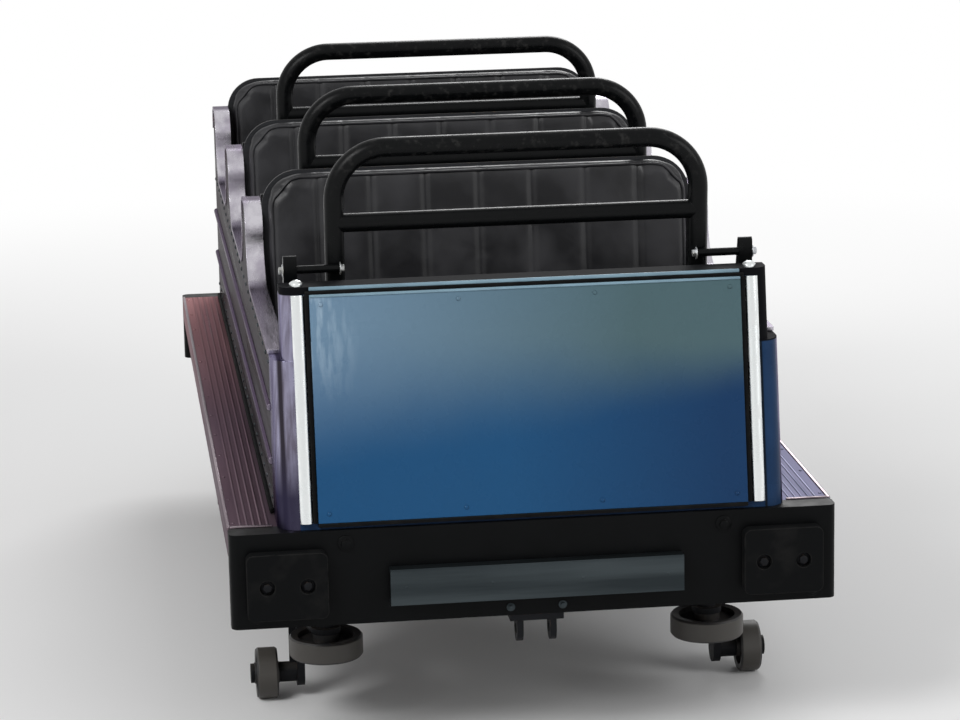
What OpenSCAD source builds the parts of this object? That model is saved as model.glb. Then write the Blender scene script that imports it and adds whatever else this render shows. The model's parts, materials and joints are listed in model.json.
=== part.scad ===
// Three-bench car of a wooden roller coaster: a low open body on a welded underframe, with two
// corner wheel sets at each end, each holding a road wheel above the rail, a guide wheel inside it
// and an upstop wheel under it, and a hinged hoop-shaped lap bar in front of each bench.
// Front is +X, the car's left is +Y, up is +Z. The origin is midway along the car, on its middle
// plane, at the height of the upstop wheels' lowest point.

/* [Body] */
// Length from the front beam's face to the rear beam's back
body_l = 2600; // [2560:5:2700]
// Width over the two side walls
body_w = 1130; // [1110:2:1160]
// Thickness of a side wall
wall_t = 40; // [30:1:44]
// Height of a side wall's low line above the deck
wall_h = 365; // [350:5:380]
// Rise of a side wall's crests above its low line
crest_h = 185; // [170:5:195]
// Length of a crest along the wall
crest_l = 170; // [150:2:180]
// Rounding of a crest's two upper corners
crest_round = 62; // [40:2:70]
// Radius of the hollow curve at a crest's foot
crest_foot = 115; // [60:5:120]
// Thickness of the polished moulding along the walls' upper edge
moulding_t = 9; // [4:0.5:14]
// How far that moulding stands proud of the wall's outer face
moulding_lip = 3; // [1:0.5:6]
// Number of half-round belts along each side wall, evenly spaced below its low line
belt_n = 2; // [1:1:3]
// Width of a belt
belt_d = 16; // [10:1:22]
// Thickness of the panel that closes the body's back
rear_panel_t = 20; // [10:1:26]
// Rounding of that panel's two upper corners
rear_panel_round = 40; // [20:2:60]

/* [Deck and floor] */
// Width over the two running boards
deck_w = 1350; // [1320:5:1400]
// Thickness of a running board
deck_t = 20; // [12:1:22]
// Depth of the turned-down outer edge of a running board, below its underside
deck_edge_h = 42; // [20:1:60]
// Thickness of that edge
deck_edge_t = 8; // [4:1:12]
// Thickness of a gusset under a running board
gusset_t = 10; // [6:1:16]
// Distance along the car from an axle to the gussets between the axles
gusset_x = 240; // [200:5:300]
// Distance from a running board's end to its nearest gusset
gusset_end = 180; // [150:5:220]
// Gap between a wheel carrier's top and the tub's floor
tub_gap = 2; // [1:0.5:6]
// Outside width of the foot tub
tub_w = 940; // [920:2:950]
// Thickness of the tub's sides and ends
tub_t = 12; // [6:1:16]
// Depth of the foot tub below the deck
tub_depth = 110; // [100:2:120]
// Thickness of the tub's floor
floor_t = 24; // [16:1:30]

/* [Nose and sign] */
// Height of the nose above the deck
nose_h = 523; // [500:1:545]
// Backward lean of the nose, in degrees
nose_lean = 10; // [6:0.5:11]
// How far the foot of the nose stands back from the front beam's face
nose_back = 14; // [8:1:20]
// Distance from the front beam's face to the rear edge of the nose shell
nose_l = 166; // [150:1:172]
// Thickness of the nose shell
nose_t = 20; // [10:1:26]
// Rounding of the nose's two front corners, below its shoulder
nose_round = 45; // [30:1:47]
// Rounding of those corners above the shoulder
nose_top_round = 27; // [27:1:40]
// How much narrower the nose is on each side above its shoulder
nose_step = 24; // [15:1:30]
// Width over the sign board and its two edge strips
sign_w = 1036; // [1000:2:1040]
// Height of the sign board up the slope of the nose
sign_h = 500; // [470:1:505]
// Distance from the deck up the slope to the sign board's foot
sign_low = 14; // [8:1:18]
// Thickness of the sign board
sign_t = 12; // [6:1:18]
// Width of a half-round edge strip
strip_w = 30; // [24:1:36]
// Gap between the sign board and a strip
strip_gap = 11; // [6:0.5:14]
// Diameter of the domed cap above each strip
cap_d = 30; // [20:1:36]

/* [Beams and buffers] */
// Depth of the front beam along the car
beam_l = 60; // [50:1:70]
// Height of the front beam, down from the deck
beam_h = 215; // [200:5:222]
// Thickness of a beam's plate
beam_t = 12; // [8:1:16]
// Length of the rear beam along the car
rear_beam_l = 50; // [40:1:60]
// Height of the rear beam, down from the deck
rear_beam_h = 180; // [170:2:200]
// How far the buffer pads and the bumper plate stand out from the front beam
buffer_t = 30; // [15:1:40]
// Width of a buffer pad
pad_w = 178; // [120:2:200]
// Height of a buffer pad
pad_h = 150; // [110:2:160]
// Distance from the car's middle to the middle of a buffer pad
pad_y = 551; // [540:1:560]
// Distance from the deck down to a buffer pad's upper edge
pad_drop = 40; // [20:1:40]
// Rounding of a buffer pad's corners
pad_round = 16; // [6:1:30]
// Diameter of the two bolt recesses in a buffer pad
recess_d = 34; // [24:1:40]
// Depth of those recesses
recess_deep = 10; // [4:0.5:12]
// Length of the bumper plate across the car
bumper_w = 652; // [560:2:700]
// Height of the bumper plate
bumper_h = 82; // [60:1:95]
// Distance from the deck down to the bumper plate's upper edge
bumper_drop = 88; // [70:1:95]
// Thickness of the bumper plate's metal
bumper_t = 9; // [5:0.5:12]

/* [Couplers] */
// Distance from the rear beam's back to the drawbar's pin
drawbar_l = 120; // [100:5:150]
// Radius of the drawbar's eye
eye_r = 42; // [36:1:48]
// Diameter of the hole for the coupling pin
eye_hole_d = 38; // [30:0.5:42]
// Thickness of the drawbar
drawbar_t = 36; // [24:1:44]
// Diameter of the hole for the towing pin
tow_hole_d = 24; // [16:0.5:28]
// Clear gap between the towing bracket's two cheeks
tow_gap = 60; // [40:1:80]
// Thickness of one of those cheeks
tow_cheek_t = 14; // [10:1:18]
// Distance from the front beam down to the towing pin
tow_drop = 40; // [34:1:46]
// Radius of a cheek's round foot
tow_r = 28; // [24:1:32]
// Thickness of the towing bracket's foot
tow_foot_t = 14; // [8:1:16]
// Distance from the deck down to the middle of the drawbar
drawbar_drop = 100; // [92:1:104]
// Width of the plate that bolts the drawbar to the rear beam
flange_w = 180; // [150:5:220]
// Height of that plate
flange_h = 120; // [100:5:130]
// Thickness of that plate
flange_t = 14; // [8:1:20]

/* [Seats] */
// Distance from one bench to the next
row_pitch = 790; // [784:1:800]
// Height of a seat cushion's top above the deck
seat_h = 150; // [140:2:160]
// Length of a seat cushion from front to back
cushion_l = 420; // [380:5:440]
// Thickness of a seat cushion
cushion_t = 90; // [70:2:96]
// Rounding of a cushion's front upper edge
cushion_round = 38; // [20:2:44]
// Height of a seat back above its cushion
back_h = 490; // [460:5:500]
// Backward lean of a seat back, in degrees
back_lean = 6; // [4:0.5:6.5]
// Thickness of the pad on a seat back
back_pad_t = 50; // [40:1:54]
// Thickness of the board that carries the pad
back_board_t = 16; // [10:1:18]
// Rounding of a seat back's two upper corners
back_round = 90; // [50:5:120]
// Gap between the body's back panel and the last seat back, at its top
seat_back_gap = 12; // [8:1:20]
// Thickness of the seat board under a cushion
seat_board_t = 18; // [12:1:24]
// Distance from a cushion's front edge back to the seat board's
board_back = 14; // [8:1:20]
// Distance from a cushion's front edge back to the seat box
box_back = 50; // [30:2:70]
// Gap between a cushion and the foot of the back pad behind it
cushion_gap = 2.5; // [1:0.5:5]
// Gap between a back pad and the walls and seat board
back_pad_gap = 3; // [1:0.5:6]

/* [Lap bars] */
// Width over a lap bar's hoop
bar_w = 860; // [840:2:870]
// Diameter of the hoop's tube
bar_d = 44; // [38:1:46]
// Distance from the pivot to the middle of the hoop's top tube
bar_r = 468; // [430:2:470]
// Bend radius of the hoop's two corners, at the tube's middle
bar_bend = 118; // [90:2:130]
// Diameter of the cross tube
cross_d = 42; // [24:1:42]
// Distance from the top tube down to the cross tube
cross_drop = 168; // [150:2:210]
// Height of the pivots above the deck
pivot_h = 340; // [330:2:350]
// Distance from the front of a seat back forward to its bar's pivot
pivot_x = 622; // [612:1:624]
// Forward lean of the raised bar, in degrees
bar_lean = 4; // [2:0.5:4.5]
// Diameter of the pivot pins
pivot_d = 28; // [20:1:30]
// Height of a pivot bracket above its pivot
bracket_h = 235; // [215:5:250]
// Thickness of a pivot bracket
bracket_t = 30; // [16:1:34]

/* [Wheels] */
// Diameter of a road wheel
road_d = 280; // [276:1:284]
// Width of a road wheel's tread
road_w = 64; // [56:1:68]
// Diameter of a guide wheel
guide_d = 170; // [150:1:176]
// Thickness of a guide wheel
guide_w = 50; // [40:1:52]
// Diameter of an upstop wheel
upstop_d = 120; // [110:1:126]
// Width of an upstop wheel
upstop_w = 50; // [40:1:54]
// Distance between the inner faces of the two rails
gauge = 1067; // [1060:1:1075]
// Depth of the rail head between the road wheel and the upstop wheel
rail_h = 100; // [90:1:110]
// Distance between the two axles
wheelbase = 1600; // [1560:5:1640]
// Distance from the front beam's face back to the front axle
front_overhang = 500; // [480:5:520]
// Clear height between a road wheel and the running board
wheel_room = 20; // [16:1:24]
// Distance from the rail's inner face to the middle of a road wheel
road_in = 42; // [40:1:48]
// Distance along the car from an axle to its guide wheels
guide_x = 165; // [155:1:175]
// Diameter of a road wheel's stub axle
stub_d = 50; // [40:1:52]
// Diameter of the guide and upstop wheels' pins
pin_d = 30; // [24:1:32]
// Thickness of a wheel carrier's side plate
carrier_t = 18; // [12:1:22]
// Distance from a road wheel's inner face to the inner face of that plate
carrier_in = 56; // [50:1:60]
// Depth of a guide wheel's middle below the rail's top
guide_drop = 45; // [40:1:48]
// Gap between a guide wheel and the rail
guide_gap = 3; // [1:0.5:6]
// How far a hub stands out of its wheel on each side
hub_side = 4; // [2:0.5:5]
// Thickness of a carrier's ribs
rib_t = 12; // [8:1:16]
// How far the upright rib stands out from a carrier's side plate
rib_out = 16; // [8:1:20]
// Height of the rib on the arm over a guide wheel
arm_rib_h = 44; // [30:1:60]

/* [Underframe] */
// Distance from the car's middle to the outer face of a frame rail
frame_y = 338; // [320:1:350]
// Height of a frame rail
frame_h = 70; // [60:1:76]
// Width of a frame rail's flanges
frame_flange = 45; // [35:1:55]
// Thickness of the rails' steel
frame_t = 8; // [5:0.5:10]
// Height of the cross members between the rails and the tub
cross_h = 30; // [20:1:34]
// Width of a cross member
cross_l = 60; // [50:1:80]
// Thickness of a cross member's steel
cross_t = 6; // [4:0.5:10]
// Length of the corner gussets between the frame rails and the beams
corner_l = 120; // [80:5:140]
// Distance from the front axle back to the next cross member
cross_back = 300; // [220:10:360]
// Height of the tube that joins two wheel carriers
axle_h = 60; // [50:1:64]
// Width of that tube along the car
axle_l = 90; // [70:1:100]
// Thickness of that tube's steel
axle_t = 8; // [5:0.5:12]
// Width of a brake runner
runner_w = 70; // [50:1:90]
// Thickness of a brake runner
runner_t = 18; // [12:1:20]
// Distance from the car's middle to the middle of a brake runner
runner_y = 220; // [180:1:240]
// Length of a brake runner past each axle
runner_over = 150; // [120:5:200]
// Length of the ramp at each end of a brake runner
runner_ramp = 60; // [40:5:90]
// Thickness of a brake runner's tips
runner_tip = 2; // [1:0.5:6]

/* [Chain dogs] */
// Thickness of a dog
dog_t = 24; // [16:1:30]
// Length of a dog from its pivot to its tip
dog_l = 165; // [140:1:175]
// Diameter of a dog's pivot pin
dog_pin_d = 24; // [18:1:28]
// Distance from the rear axle forward to the chain dog's pivot
dog_x = 460; // [440:5:520]
// Distance from the chain dog's pivot back to the rollback dog's
dog_pitch = 240; // [210:5:270]
// Gap between a dog and each of its cheeks
dog_gap = 2; // [1:0.5:4]
// Thickness of a cheek
cheek_t = 10; // [6:1:14]
// Distance from a dog's pivot back to its stop bar
stop_bar_x = 22; // [20:1:26]
// Length of the stop bar along the car
stop_bar_l = 20; // [14:1:24]

/* [Fits] */
// Radial clearance of a wheel or bar on its pin
run_fit = 0.05; // [0.02:0.01:0.09]
// Clearance of a wheel's hub along its pin
end_gap = 1; // [0.5:0.1:2]
// Clearance between soft pads and what they lie against
soft_gap = 0.3; // [0.2:0.05:0.5]
// Clearance between a moving piece and its stop
stop_gap = 0.3; // [0.2:0.05:0.5]

/* [Hidden] */
$fn = 64;

ROWS = [1, 2, 3];
SIDES = [1, -1];
black = "#15161a";
steel = "#4a4d52";
bright = "#b9bcc4";
blue = "#1d4f96";

// heights
rail_z = upstop_d + rail_h;
axle_z = rail_z + road_d / 2;
deck_z = rail_z + road_d + wheel_room + deck_t;
floor_z = deck_z - tub_depth;
cross_z = floor_z - floor_t - cross_h;
frame_z = cross_z - frame_h;
tube_z = frame_z - axle_h;
low_z = deck_z + wall_h;
crest_z = low_z + crest_h;
seat_z = deck_z + seat_h;
base_z = seat_z - cushion_t;
pivot_z = deck_z + pivot_h;
nose_z = deck_z + nose_h;

// places along the car
coupler_out = drawbar_l + eye_r;
total_l = body_l + buffer_t + coupler_out;
front_x = total_l / 2 - buffer_t;
rear_x = front_x - body_l;
nose_rear_x = front_x - nose_l;
nose_front_x = front_x - nose_back;
deck_front_x = front_x - beam_l;
deck_rear_x = rear_x + rear_beam_l;
axle_front_x = front_x - front_overhang;
axle_rear_x = axle_front_x - wheelbase;
// depth of a whole seat back with its lean, measured at the level of its top
back_depth = (back_pad_t + back_board_t) / cos(back_lean);
back_run = back_h * tan(back_lean);
last_seat_x = rear_x + rear_panel_t + seat_back_gap + back_depth + back_run;
function seat_x(row) = last_seat_x + (3 - row) * row_pitch;
function bar_x(row) = seat_x(row) + pivot_x;

// places across the car
wall_in = body_w / 2 - wall_t;
deck_in = tub_w / 2 - tub_t;
road_y = gauge / 2 + road_in;
carrier_y = road_y - road_w / 2 - carrier_in;
guide_y = gauge / 2 - guide_gap - guide_d / 2;
guide_z = rail_z - guide_drop;
upstop_z = upstop_d / 2;
hub_in = road_y - road_w / 2 - hub_side;
hub_out = road_y + road_w / 2 + hub_side;

// how far a leaning shape runs past the level cuts that end it
reach = 200;

// puts a shape on both sides of the car
module both_sides() {
    for (side = SIDES) mirror([0, side < 0 ? 1 : 0, 0]) children();
}

// extrudes an outline drawn in x and z across the car, from y = from to y = to
module across(from, to) {
    translate([0, to, 0]) rotate([90, 0, 0]) linear_extrude(to - from) children();
}

module block(x0, x1, y0, y1, z0, z1) {
    translate([x0, y0, z0]) cube([x1 - x0, y1 - y0, z1 - z0]);
}

module rounded_block(x0, x1, y0, y1, z0, z1, r) {
    translate([0, 0, z0]) linear_extrude(z1 - z0) rounded_rect(x0, x1, y0, y1, r);
}

module rounded_rect(x0, x1, y0, y1, r) {
    translate([x0 + r, y0]) square([x1 - x0 - 2 * r, y1 - y0]);
    translate([x0, y0 + r]) square([x1 - x0, y1 - y0 - 2 * r]);
    for (x = [x0 + r, x1 - r], y = [y0 + r, y1 - r]) translate([x, y]) circle(r);
}

// a pin or tube of radius r across the car
module y_rod(x, z, r, y0, y1) {
    translate([x, y1, z]) rotate([90, 0, 0]) cylinder(h = y1 - y0, r = r);
}

// half-round section of diameter d, flat on the y axis and bulging towards +x
module half_round(d) intersection() {
    circle(d = d);
    translate([0, -d]) square(2 * d);
}

// Underframe

module frame_rails() color(steel) both_sides() {
    // channel section between the two beams, open towards the middle of the car
    translate([deck_rear_x, 0, 0]) rotate([90, 0, 90])
        linear_extrude(deck_front_x - deck_rear_x) difference() {
            translate([frame_y - frame_flange, frame_z]) square([frame_flange, frame_h]);
            translate([frame_y - frame_flange - 1, frame_z + frame_t])
                square([frame_flange + 1 - frame_t, frame_h - 2 * frame_t]);
        }
    // corner gussets, level with the lower flange of each beam
    corner_gusset(deck_front_x, -1, deck_z - beam_h);
    corner_gusset(deck_rear_x, 1, deck_z - rear_beam_h);
}

module corner_gusset(x, inward, z)
    translate([x, frame_y, z]) linear_extrude(beam_t)
        polygon([[0, 0], [inward * corner_l, 0], [0, corner_l]]);

// places of the cross members, from the front to the back: they stand clear of the wheel carriers,
// and the fourth lies midway between the two dogs
cross_xs = [
    deck_front_x - cross_l, axle_front_x - cross_back, (axle_front_x + axle_rear_x) / 2,
    axle_rear_x + dog_x - dog_pitch / 2, deck_rear_x + cross_l
];

// pressed channels, open towards the ground
module cross_members() color(steel)
    for (x = cross_xs) difference() {
        block(x - cross_l / 2, x + cross_l / 2, -tub_w / 2, tub_w / 2, cross_z, cross_z + cross_h);
        block(x - cross_l / 2 + cross_t, x + cross_l / 2 - cross_t, -tub_w / 2 - 1, tub_w / 2 + 1,
              cross_z - 1, cross_z + cross_h - cross_t);
    }

// pressed channel across the car, open towards the middle of the car
module end_beam(face_x, depth, height, inward) {
    x0 = min(face_x, face_x + inward * depth);
    x1 = max(face_x, face_x + inward * depth);
    open_x0 = inward < 0 ? x0 - 1 : x0 + beam_t;
    open_x1 = inward < 0 ? x1 - beam_t : x1 + 1;
    difference() {
        rounded_block(x0, x1, -deck_w / 2, deck_w / 2, deck_z - height, deck_z, beam_t * 1.5);
        block(open_x0, open_x1, -deck_w / 2 + beam_t, deck_w / 2 - beam_t,
              deck_z - height + beam_t, deck_z - beam_t);
    }
}

module front_beam() color(black) end_beam(front_x, beam_l, beam_h, -1);

module rear_beam() color(black) end_beam(rear_x, rear_beam_l, rear_beam_h, 1);

// height of a buffer pad's middle
pad_z = deck_z - pad_drop - pad_h / 2;

module buffer_pads() color("#2b2d31") both_sides()
    difference() {
        translate([front_x, pad_y, pad_z]) rotate([0, 90, 0]) linear_extrude(buffer_t)
            rounded_rect(-pad_h / 2, pad_h / 2, -pad_w / 2, pad_w / 2, pad_round);
        // two recesses for the bolts
        for (y = [-1, 1])
            translate([front_x + buffer_t - recess_deep, pad_y + y * pad_w / 4, pad_z])
                rotate([0, 90, 0]) cylinder(h = recess_deep + 1, d = recess_d);
    }

module bumper_plate() color("#c7cbcc")
    // rolled channel with its two edges turned back to the beam
    difference() {
        block(front_x, front_x + buffer_t, -bumper_w / 2, bumper_w / 2,
              deck_z - bumper_drop - bumper_h, deck_z - bumper_drop);
        block(front_x - 1, front_x + buffer_t - bumper_t, -bumper_w / 2 - 1, bumper_w / 2 + 1,
              deck_z - bumper_drop - bumper_h + bumper_t, deck_z - bumper_drop - bumper_t);
    }

// towing bracket under the front beam: two cheeks on one foot, with a hole for a pin
tow_x = front_x - beam_l / 2;
tow_z = deck_z - beam_h - tow_drop;

module tow_bracket() color(steel) {
    foot_z = tow_z + tow_drop - tow_foot_t;
    block(front_x - beam_l, front_x, -tow_gap, tow_gap, foot_z, tow_z + tow_drop);
    both_sides() difference() {
        across(tow_gap / 2, tow_gap / 2 + tow_cheek_t) {
            translate([tow_x, tow_z]) circle(tow_r);
            translate([tow_x - tow_r, tow_z]) square([2 * tow_r, foot_z - tow_z]);
        }
        y_rod(tow_x, tow_z, tow_hole_d / 2, 0, tow_gap);
    }
}

// drawbar that reaches back to the next car's coupling pin
drawbar_z = deck_z - drawbar_drop;

module drawbar() color(steel) {
    flange_x = rear_x - flange_t;
    block(flange_x, rear_x, -flange_w / 2, flange_w / 2,
          drawbar_z - flange_h / 2, drawbar_z + flange_h / 2);
    difference() {
        translate([0, 0, drawbar_z - drawbar_t / 2]) linear_extrude(drawbar_t) {
            translate([rear_x - drawbar_l, 0]) circle(eye_r);
            polygon([
                [flange_x, -flange_w / 3], [flange_x, flange_w / 3],
                [rear_x - drawbar_l, eye_r * 0.8], [rear_x - drawbar_l, -eye_r * 0.8]
            ]);
        }
        translate([rear_x - drawbar_l, 0, drawbar_z - drawbar_t])
            cylinder(h = 2 * drawbar_t, d = eye_hole_d);
    }
}

// flat steel bars under the axle tubes, which the track's brakes press against
module brake_runners() color(steel) {
    x0 = axle_rear_x - runner_over;
    x1 = axle_front_x + runner_over;
    both_sides() across(runner_y - runner_w / 2, runner_y + runner_w / 2)
        polygon([
            [x0, tube_z - runner_tip], [x0, tube_z], [x1, tube_z], [x1, tube_z - runner_tip],
            [x1 - runner_ramp, tube_z - runner_t], [x0 + runner_ramp, tube_z - runner_t]
        ]);
}

// Dogs: the chain dog in front, the rollback dog behind it
dog_xs = [axle_rear_x + dog_x, axle_rear_x + dog_x - dog_pitch];
dog_z = frame_z - 6;
// downward slope of a dog at rest, in degrees
dog_drop = 38;
dog_boss_r = dog_pin_d / 2 + 14;
heel_h = dog_boss_r + 18;

module dog_brackets() color(steel)
    for (x = dog_xs) {
        // two cheeks that hang from the floor, with a headed pin and a stop bar behind the heel
        both_sides() across(dog_t / 2 + dog_gap, dog_t / 2 + dog_gap + cheek_t) {
            translate([x, dog_z]) circle(dog_boss_r);
            translate([x - stop_bar_x - stop_bar_l, dog_z])
                square([stop_bar_x + stop_bar_l + dog_boss_r, cross_z + cross_h - dog_z]);
        }
        y_rod(x, dog_z, dog_pin_d / 2, -dog_t / 2 - dog_gap, dog_t / 2 + dog_gap);
        both_sides() y_rod(x, dog_z, dog_pin_d / 2 + 4, dog_t / 2 + dog_gap + cheek_t,
                           dog_t / 2 + dog_gap + cheek_t + 6);
        block(x - stop_bar_x - stop_bar_l, x - stop_bar_x, -dog_t / 2 - dog_gap,
              dog_t / 2 + dog_gap, dog_z + dog_boss_r + 6, dog_z + dog_boss_r + 26);
    }

// a dog that points back and down from its pivot, with a hooked tip and a heel above the pivot
module dog(x) color(steel) difference() {
    across(-dog_t / 2, dog_t / 2) translate([x, dog_z]) {
        circle(dog_boss_r);
        rotate(dog_drop) polygon([
            [0, 26], [-dog_l * 0.55, 24], [-dog_l, 6], [-dog_l, -30],
            [-dog_l + 26, -30], [-dog_l + 40, -16], [0, -26]
        ]);
        polygon([
            [stop_gap - stop_bar_x, 6], [10, 0], [-6, heel_h], [stop_gap - stop_bar_x, heel_h]
        ]);
    }
    y_rod(x, dog_z, dog_pin_d / 2 + run_fit, -dog_t, dog_t);
}

module chain_dog() dog(dog_xs[0]);

module rollback_dog() dog(dog_xs[1]);

// Wheel sets

module axle(x) color(steel) {
    difference() {
        block(x - axle_l / 2, x + axle_l / 2, -carrier_y, carrier_y, tube_z, frame_z);
        block(x - axle_l / 2 + axle_t, x + axle_l / 2 - axle_t, -carrier_y - 1, carrier_y + 1,
              tube_z + axle_t, frame_z - axle_t);
    }
}

module axle_front() axle(axle_front_x);

module axle_rear() axle(axle_rear_x);

// Places one corner's shapes, drawn for x = 0 and the left side. end is 1 in front, -1 behind
module corner(end, side) {
    translate([end > 0 ? axle_front_x : axle_rear_x, 0, 0])
        mirror([end < 0 ? 1 : 0, 0, 0]) mirror([0, side < 0 ? 1 : 0, 0]) children();
}

// radius of the plate's round top, which stays under the tub
carrier_r = floor_z - floor_t - tub_gap - axle_z;
// how far the plate stands out on each side of the axle tube
plate_side = 12;
// radius of the plate's round foot, and of the arm's end over a guide wheel
carrier_end_r = 34;
// thickness of that arm
arm_t = 14;

// side plate with the three pins of a corner
module carrier() color(steel) {
    across(carrier_y, carrier_y + carrier_t) {
        translate([0, axle_z]) circle(carrier_r);
        translate([0, upstop_z]) circle(carrier_end_r);
        // the plate is wider than the axle tube that is welded to it
        plate_half = axle_l / 2 + plate_side;
        polygon([
            [-carrier_r, axle_z], [carrier_r, axle_z], [plate_half, frame_z], [plate_half, tube_z],
            [carrier_end_r, upstop_z], [-carrier_end_r, upstop_z],
            [-plate_half, tube_z], [-plate_half, frame_z]
        ]);
    }
    // upright rib from the axle's boss down to the upstop wheel's
    block(-rib_t / 2, rib_t / 2, carrier_y + carrier_t, carrier_y + carrier_t + rib_out,
          upstop_z, axle_z);
    // bearing boss, stub axle and its end cap
    y_rod(0, axle_z, stub_d / 2 + 12, carrier_y + carrier_t, hub_in - end_gap);
    y_rod(0, axle_z, stub_d / 2, hub_in - end_gap, hub_out + end_gap);
    y_rod(0, axle_z, stub_d / 2 + 8, hub_out + end_gap, hub_out + end_gap + 10);
    // the upstop wheel's boss, pin and cap
    upstop_half = upstop_w / 2 + hub_side + end_gap;
    y_rod(0, upstop_z, pin_d / 2 + 9, carrier_y + carrier_t, road_y - upstop_half);
    y_rod(0, upstop_z, pin_d / 2, road_y - upstop_half, road_y + upstop_half);
    y_rod(0, upstop_z, pin_d / 2 + 8, road_y + upstop_half, road_y + upstop_half + 8);
    // arm that reaches out over the guide wheel, with the wheel's pin, its cap and its nut
    arm_z = guide_z + guide_w / 2 + hub_side + end_gap;
    pin_low = guide_z - guide_w / 2 - hub_side - end_gap;
    // the rib's two ends along the car: clear of the axle tube, and clear of the pin's nut
    rib_x = axle_l / 2 + 2;
    rib_end = guide_x - carrier_end_r - 4;
    translate([0, 0, arm_z]) linear_extrude(arm_t) {
        translate([guide_x, guide_y]) circle(carrier_end_r);
        polygon([
            [-axle_l / 2, carrier_y - 42], [-axle_l / 2, carrier_y], [rib_end, carrier_y],
            [guide_x + 12, guide_y + 32], [guide_x, guide_y - carrier_end_r]
        ]);
    }
    // rib that stiffens the arm against the plate
    across(carrier_y - rib_t, carrier_y) polygon([
        [rib_x, arm_z + arm_t], [rib_end, arm_z + arm_t],
        [rib_x + rib_t, arm_z + arm_t + arm_rib_h], [rib_x, arm_z + arm_t + arm_rib_h]
    ]);
    translate([guide_x, guide_y, 0]) {
        translate([0, 0, pin_low]) cylinder(h = arm_z - pin_low, d = pin_d);
        translate([0, 0, pin_low - 8]) cylinder(h = 8, d = pin_d + 18);
        translate([0, 0, arm_z + arm_t]) cylinder(h = 8, d = pin_d + 12);
    }
}

module carrier_front_left() corner(1, 1) carrier();
module carrier_front_right() corner(1, -1) carrier();
module carrier_rear_left() corner(-1, 1) carrier();
module carrier_rear_right() corner(-1, -1) carrier();

// Half section of a wheel, turned about the z axis. hub and width are lengths along the axle
module wheel_turned(d, width, bore_d, hub, hub_d, rim, web) {
    rotate_extrude() {
        translate([bore_d / 2, -hub / 2]) square([(hub_d - bore_d) / 2, hub]);
        translate([hub_d / 2 - 1, -web / 2]) square([d / 2 - rim - hub_d / 2 + 2, web]);
        polygon([
            [d / 2 - rim, -width / 2 + 2], [d / 2 - 4, -width / 2], [d / 2, -width / 2 + 5],
            [d / 2, width / 2 - 5], [d / 2 - 4, width / 2], [d / 2 - rim, width / 2 - 2]
        ]);
    }
}

// cast road wheel with round openings in its web
module road_wheel() color(black)
    translate([0, road_y, axle_z]) rotate([90, 0, 0]) difference() {
        wheel_turned(road_d, road_w, stub_d + 2 * run_fit, road_w + 2 * hub_side,
                     stub_d + 42, 30, 18);
        for (turn = [0:60:300]) rotate(turn) translate([road_d * 0.29, 0, -road_w])
            cylinder(h = 2 * road_w, r = 15);
    }

module guide_wheel() color(black)
    translate([guide_x, guide_y, guide_z])
        wheel_turned(guide_d, guide_w, pin_d + 2 * run_fit, guide_w + 2 * hub_side,
                     pin_d + 30, 20, 22);

module upstop_wheel() color(black)
    translate([0, road_y, upstop_z]) rotate([90, 0, 0])
        wheel_turned(upstop_d, upstop_w, pin_d + 2 * run_fit, upstop_w + 2 * hub_side,
                     pin_d + 20, 16, 24);

module road_wheel_front_left() corner(1, 1) road_wheel();
module road_wheel_front_right() corner(1, -1) road_wheel();
module road_wheel_rear_left() corner(-1, 1) road_wheel();
module road_wheel_rear_right() corner(-1, -1) road_wheel();

module guide_wheel_front_left() corner(1, 1) guide_wheel();
module guide_wheel_front_right() corner(1, -1) guide_wheel();
module guide_wheel_rear_left() corner(-1, 1) guide_wheel();
module guide_wheel_rear_right() corner(-1, -1) guide_wheel();

module upstop_wheel_front_left() corner(1, 1) upstop_wheel();
module upstop_wheel_front_right() corner(1, -1) upstop_wheel();
module upstop_wheel_rear_left() corner(-1, 1) upstop_wheel();
module upstop_wheel_rear_right() corner(-1, -1) upstop_wheel();

// Deck and floor

module foot_tub() color("#2a2b2e")
    difference() {
        block(deck_rear_x, deck_front_x, -tub_w / 2, tub_w / 2, floor_z - floor_t, deck_z - deck_t);
        block(deck_rear_x + tub_t, deck_front_x - tub_t, -deck_in, deck_in, floor_z, deck_z);
    }

// gussets stand clear of the wheels
gusset_xs = [
    deck_front_x - gusset_end, axle_front_x - gusset_x,
    axle_rear_x + gusset_x, deck_rear_x + gusset_end
];

module running_board() color(bright) {
    block(deck_rear_x, deck_front_x, deck_in, deck_w / 2, deck_z - deck_t, deck_z);
    block(deck_rear_x, deck_front_x, deck_w / 2 - deck_edge_t, deck_w / 2,
          deck_z - deck_t - deck_edge_h, deck_z - deck_t);
    for (x = gusset_xs)
        translate([x - gusset_t / 2, 0, 0]) rotate([90, 0, 90]) linear_extrude(gusset_t)
            polygon([
                [tub_w / 2, deck_z - deck_t], [deck_w / 2 - deck_edge_t, deck_z - deck_t],
                [deck_w / 2 - deck_edge_t, deck_z - deck_t - deck_edge_h * 0.6],
                [tub_w / 2, floor_z]
            ]);
}

module running_board_left() running_board();
module running_board_right() mirror([0, 1, 0]) running_board();

// Side walls

// crests stand beside the seat backs: one behind each bench, the last at the car's back end
crest_xs = [bar_x(2) + 8, bar_x(3) + 8, rear_x + crest_l / 2];

// Outline of a wall in x and z, grown upwards and along by grow. A crest has round shoulders and
// runs down to the low line in a hollow curve
module wall_outline(grow) {
    translate([rear_x, deck_z]) square([nose_rear_x - rear_x, wall_h + grow]);
    intersection() {
        for (x = crest_xs) crest(x, grow);
        translate([rear_x, deck_z]) square([body_l, wall_h + crest_h + grow]);
    }
}

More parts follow.
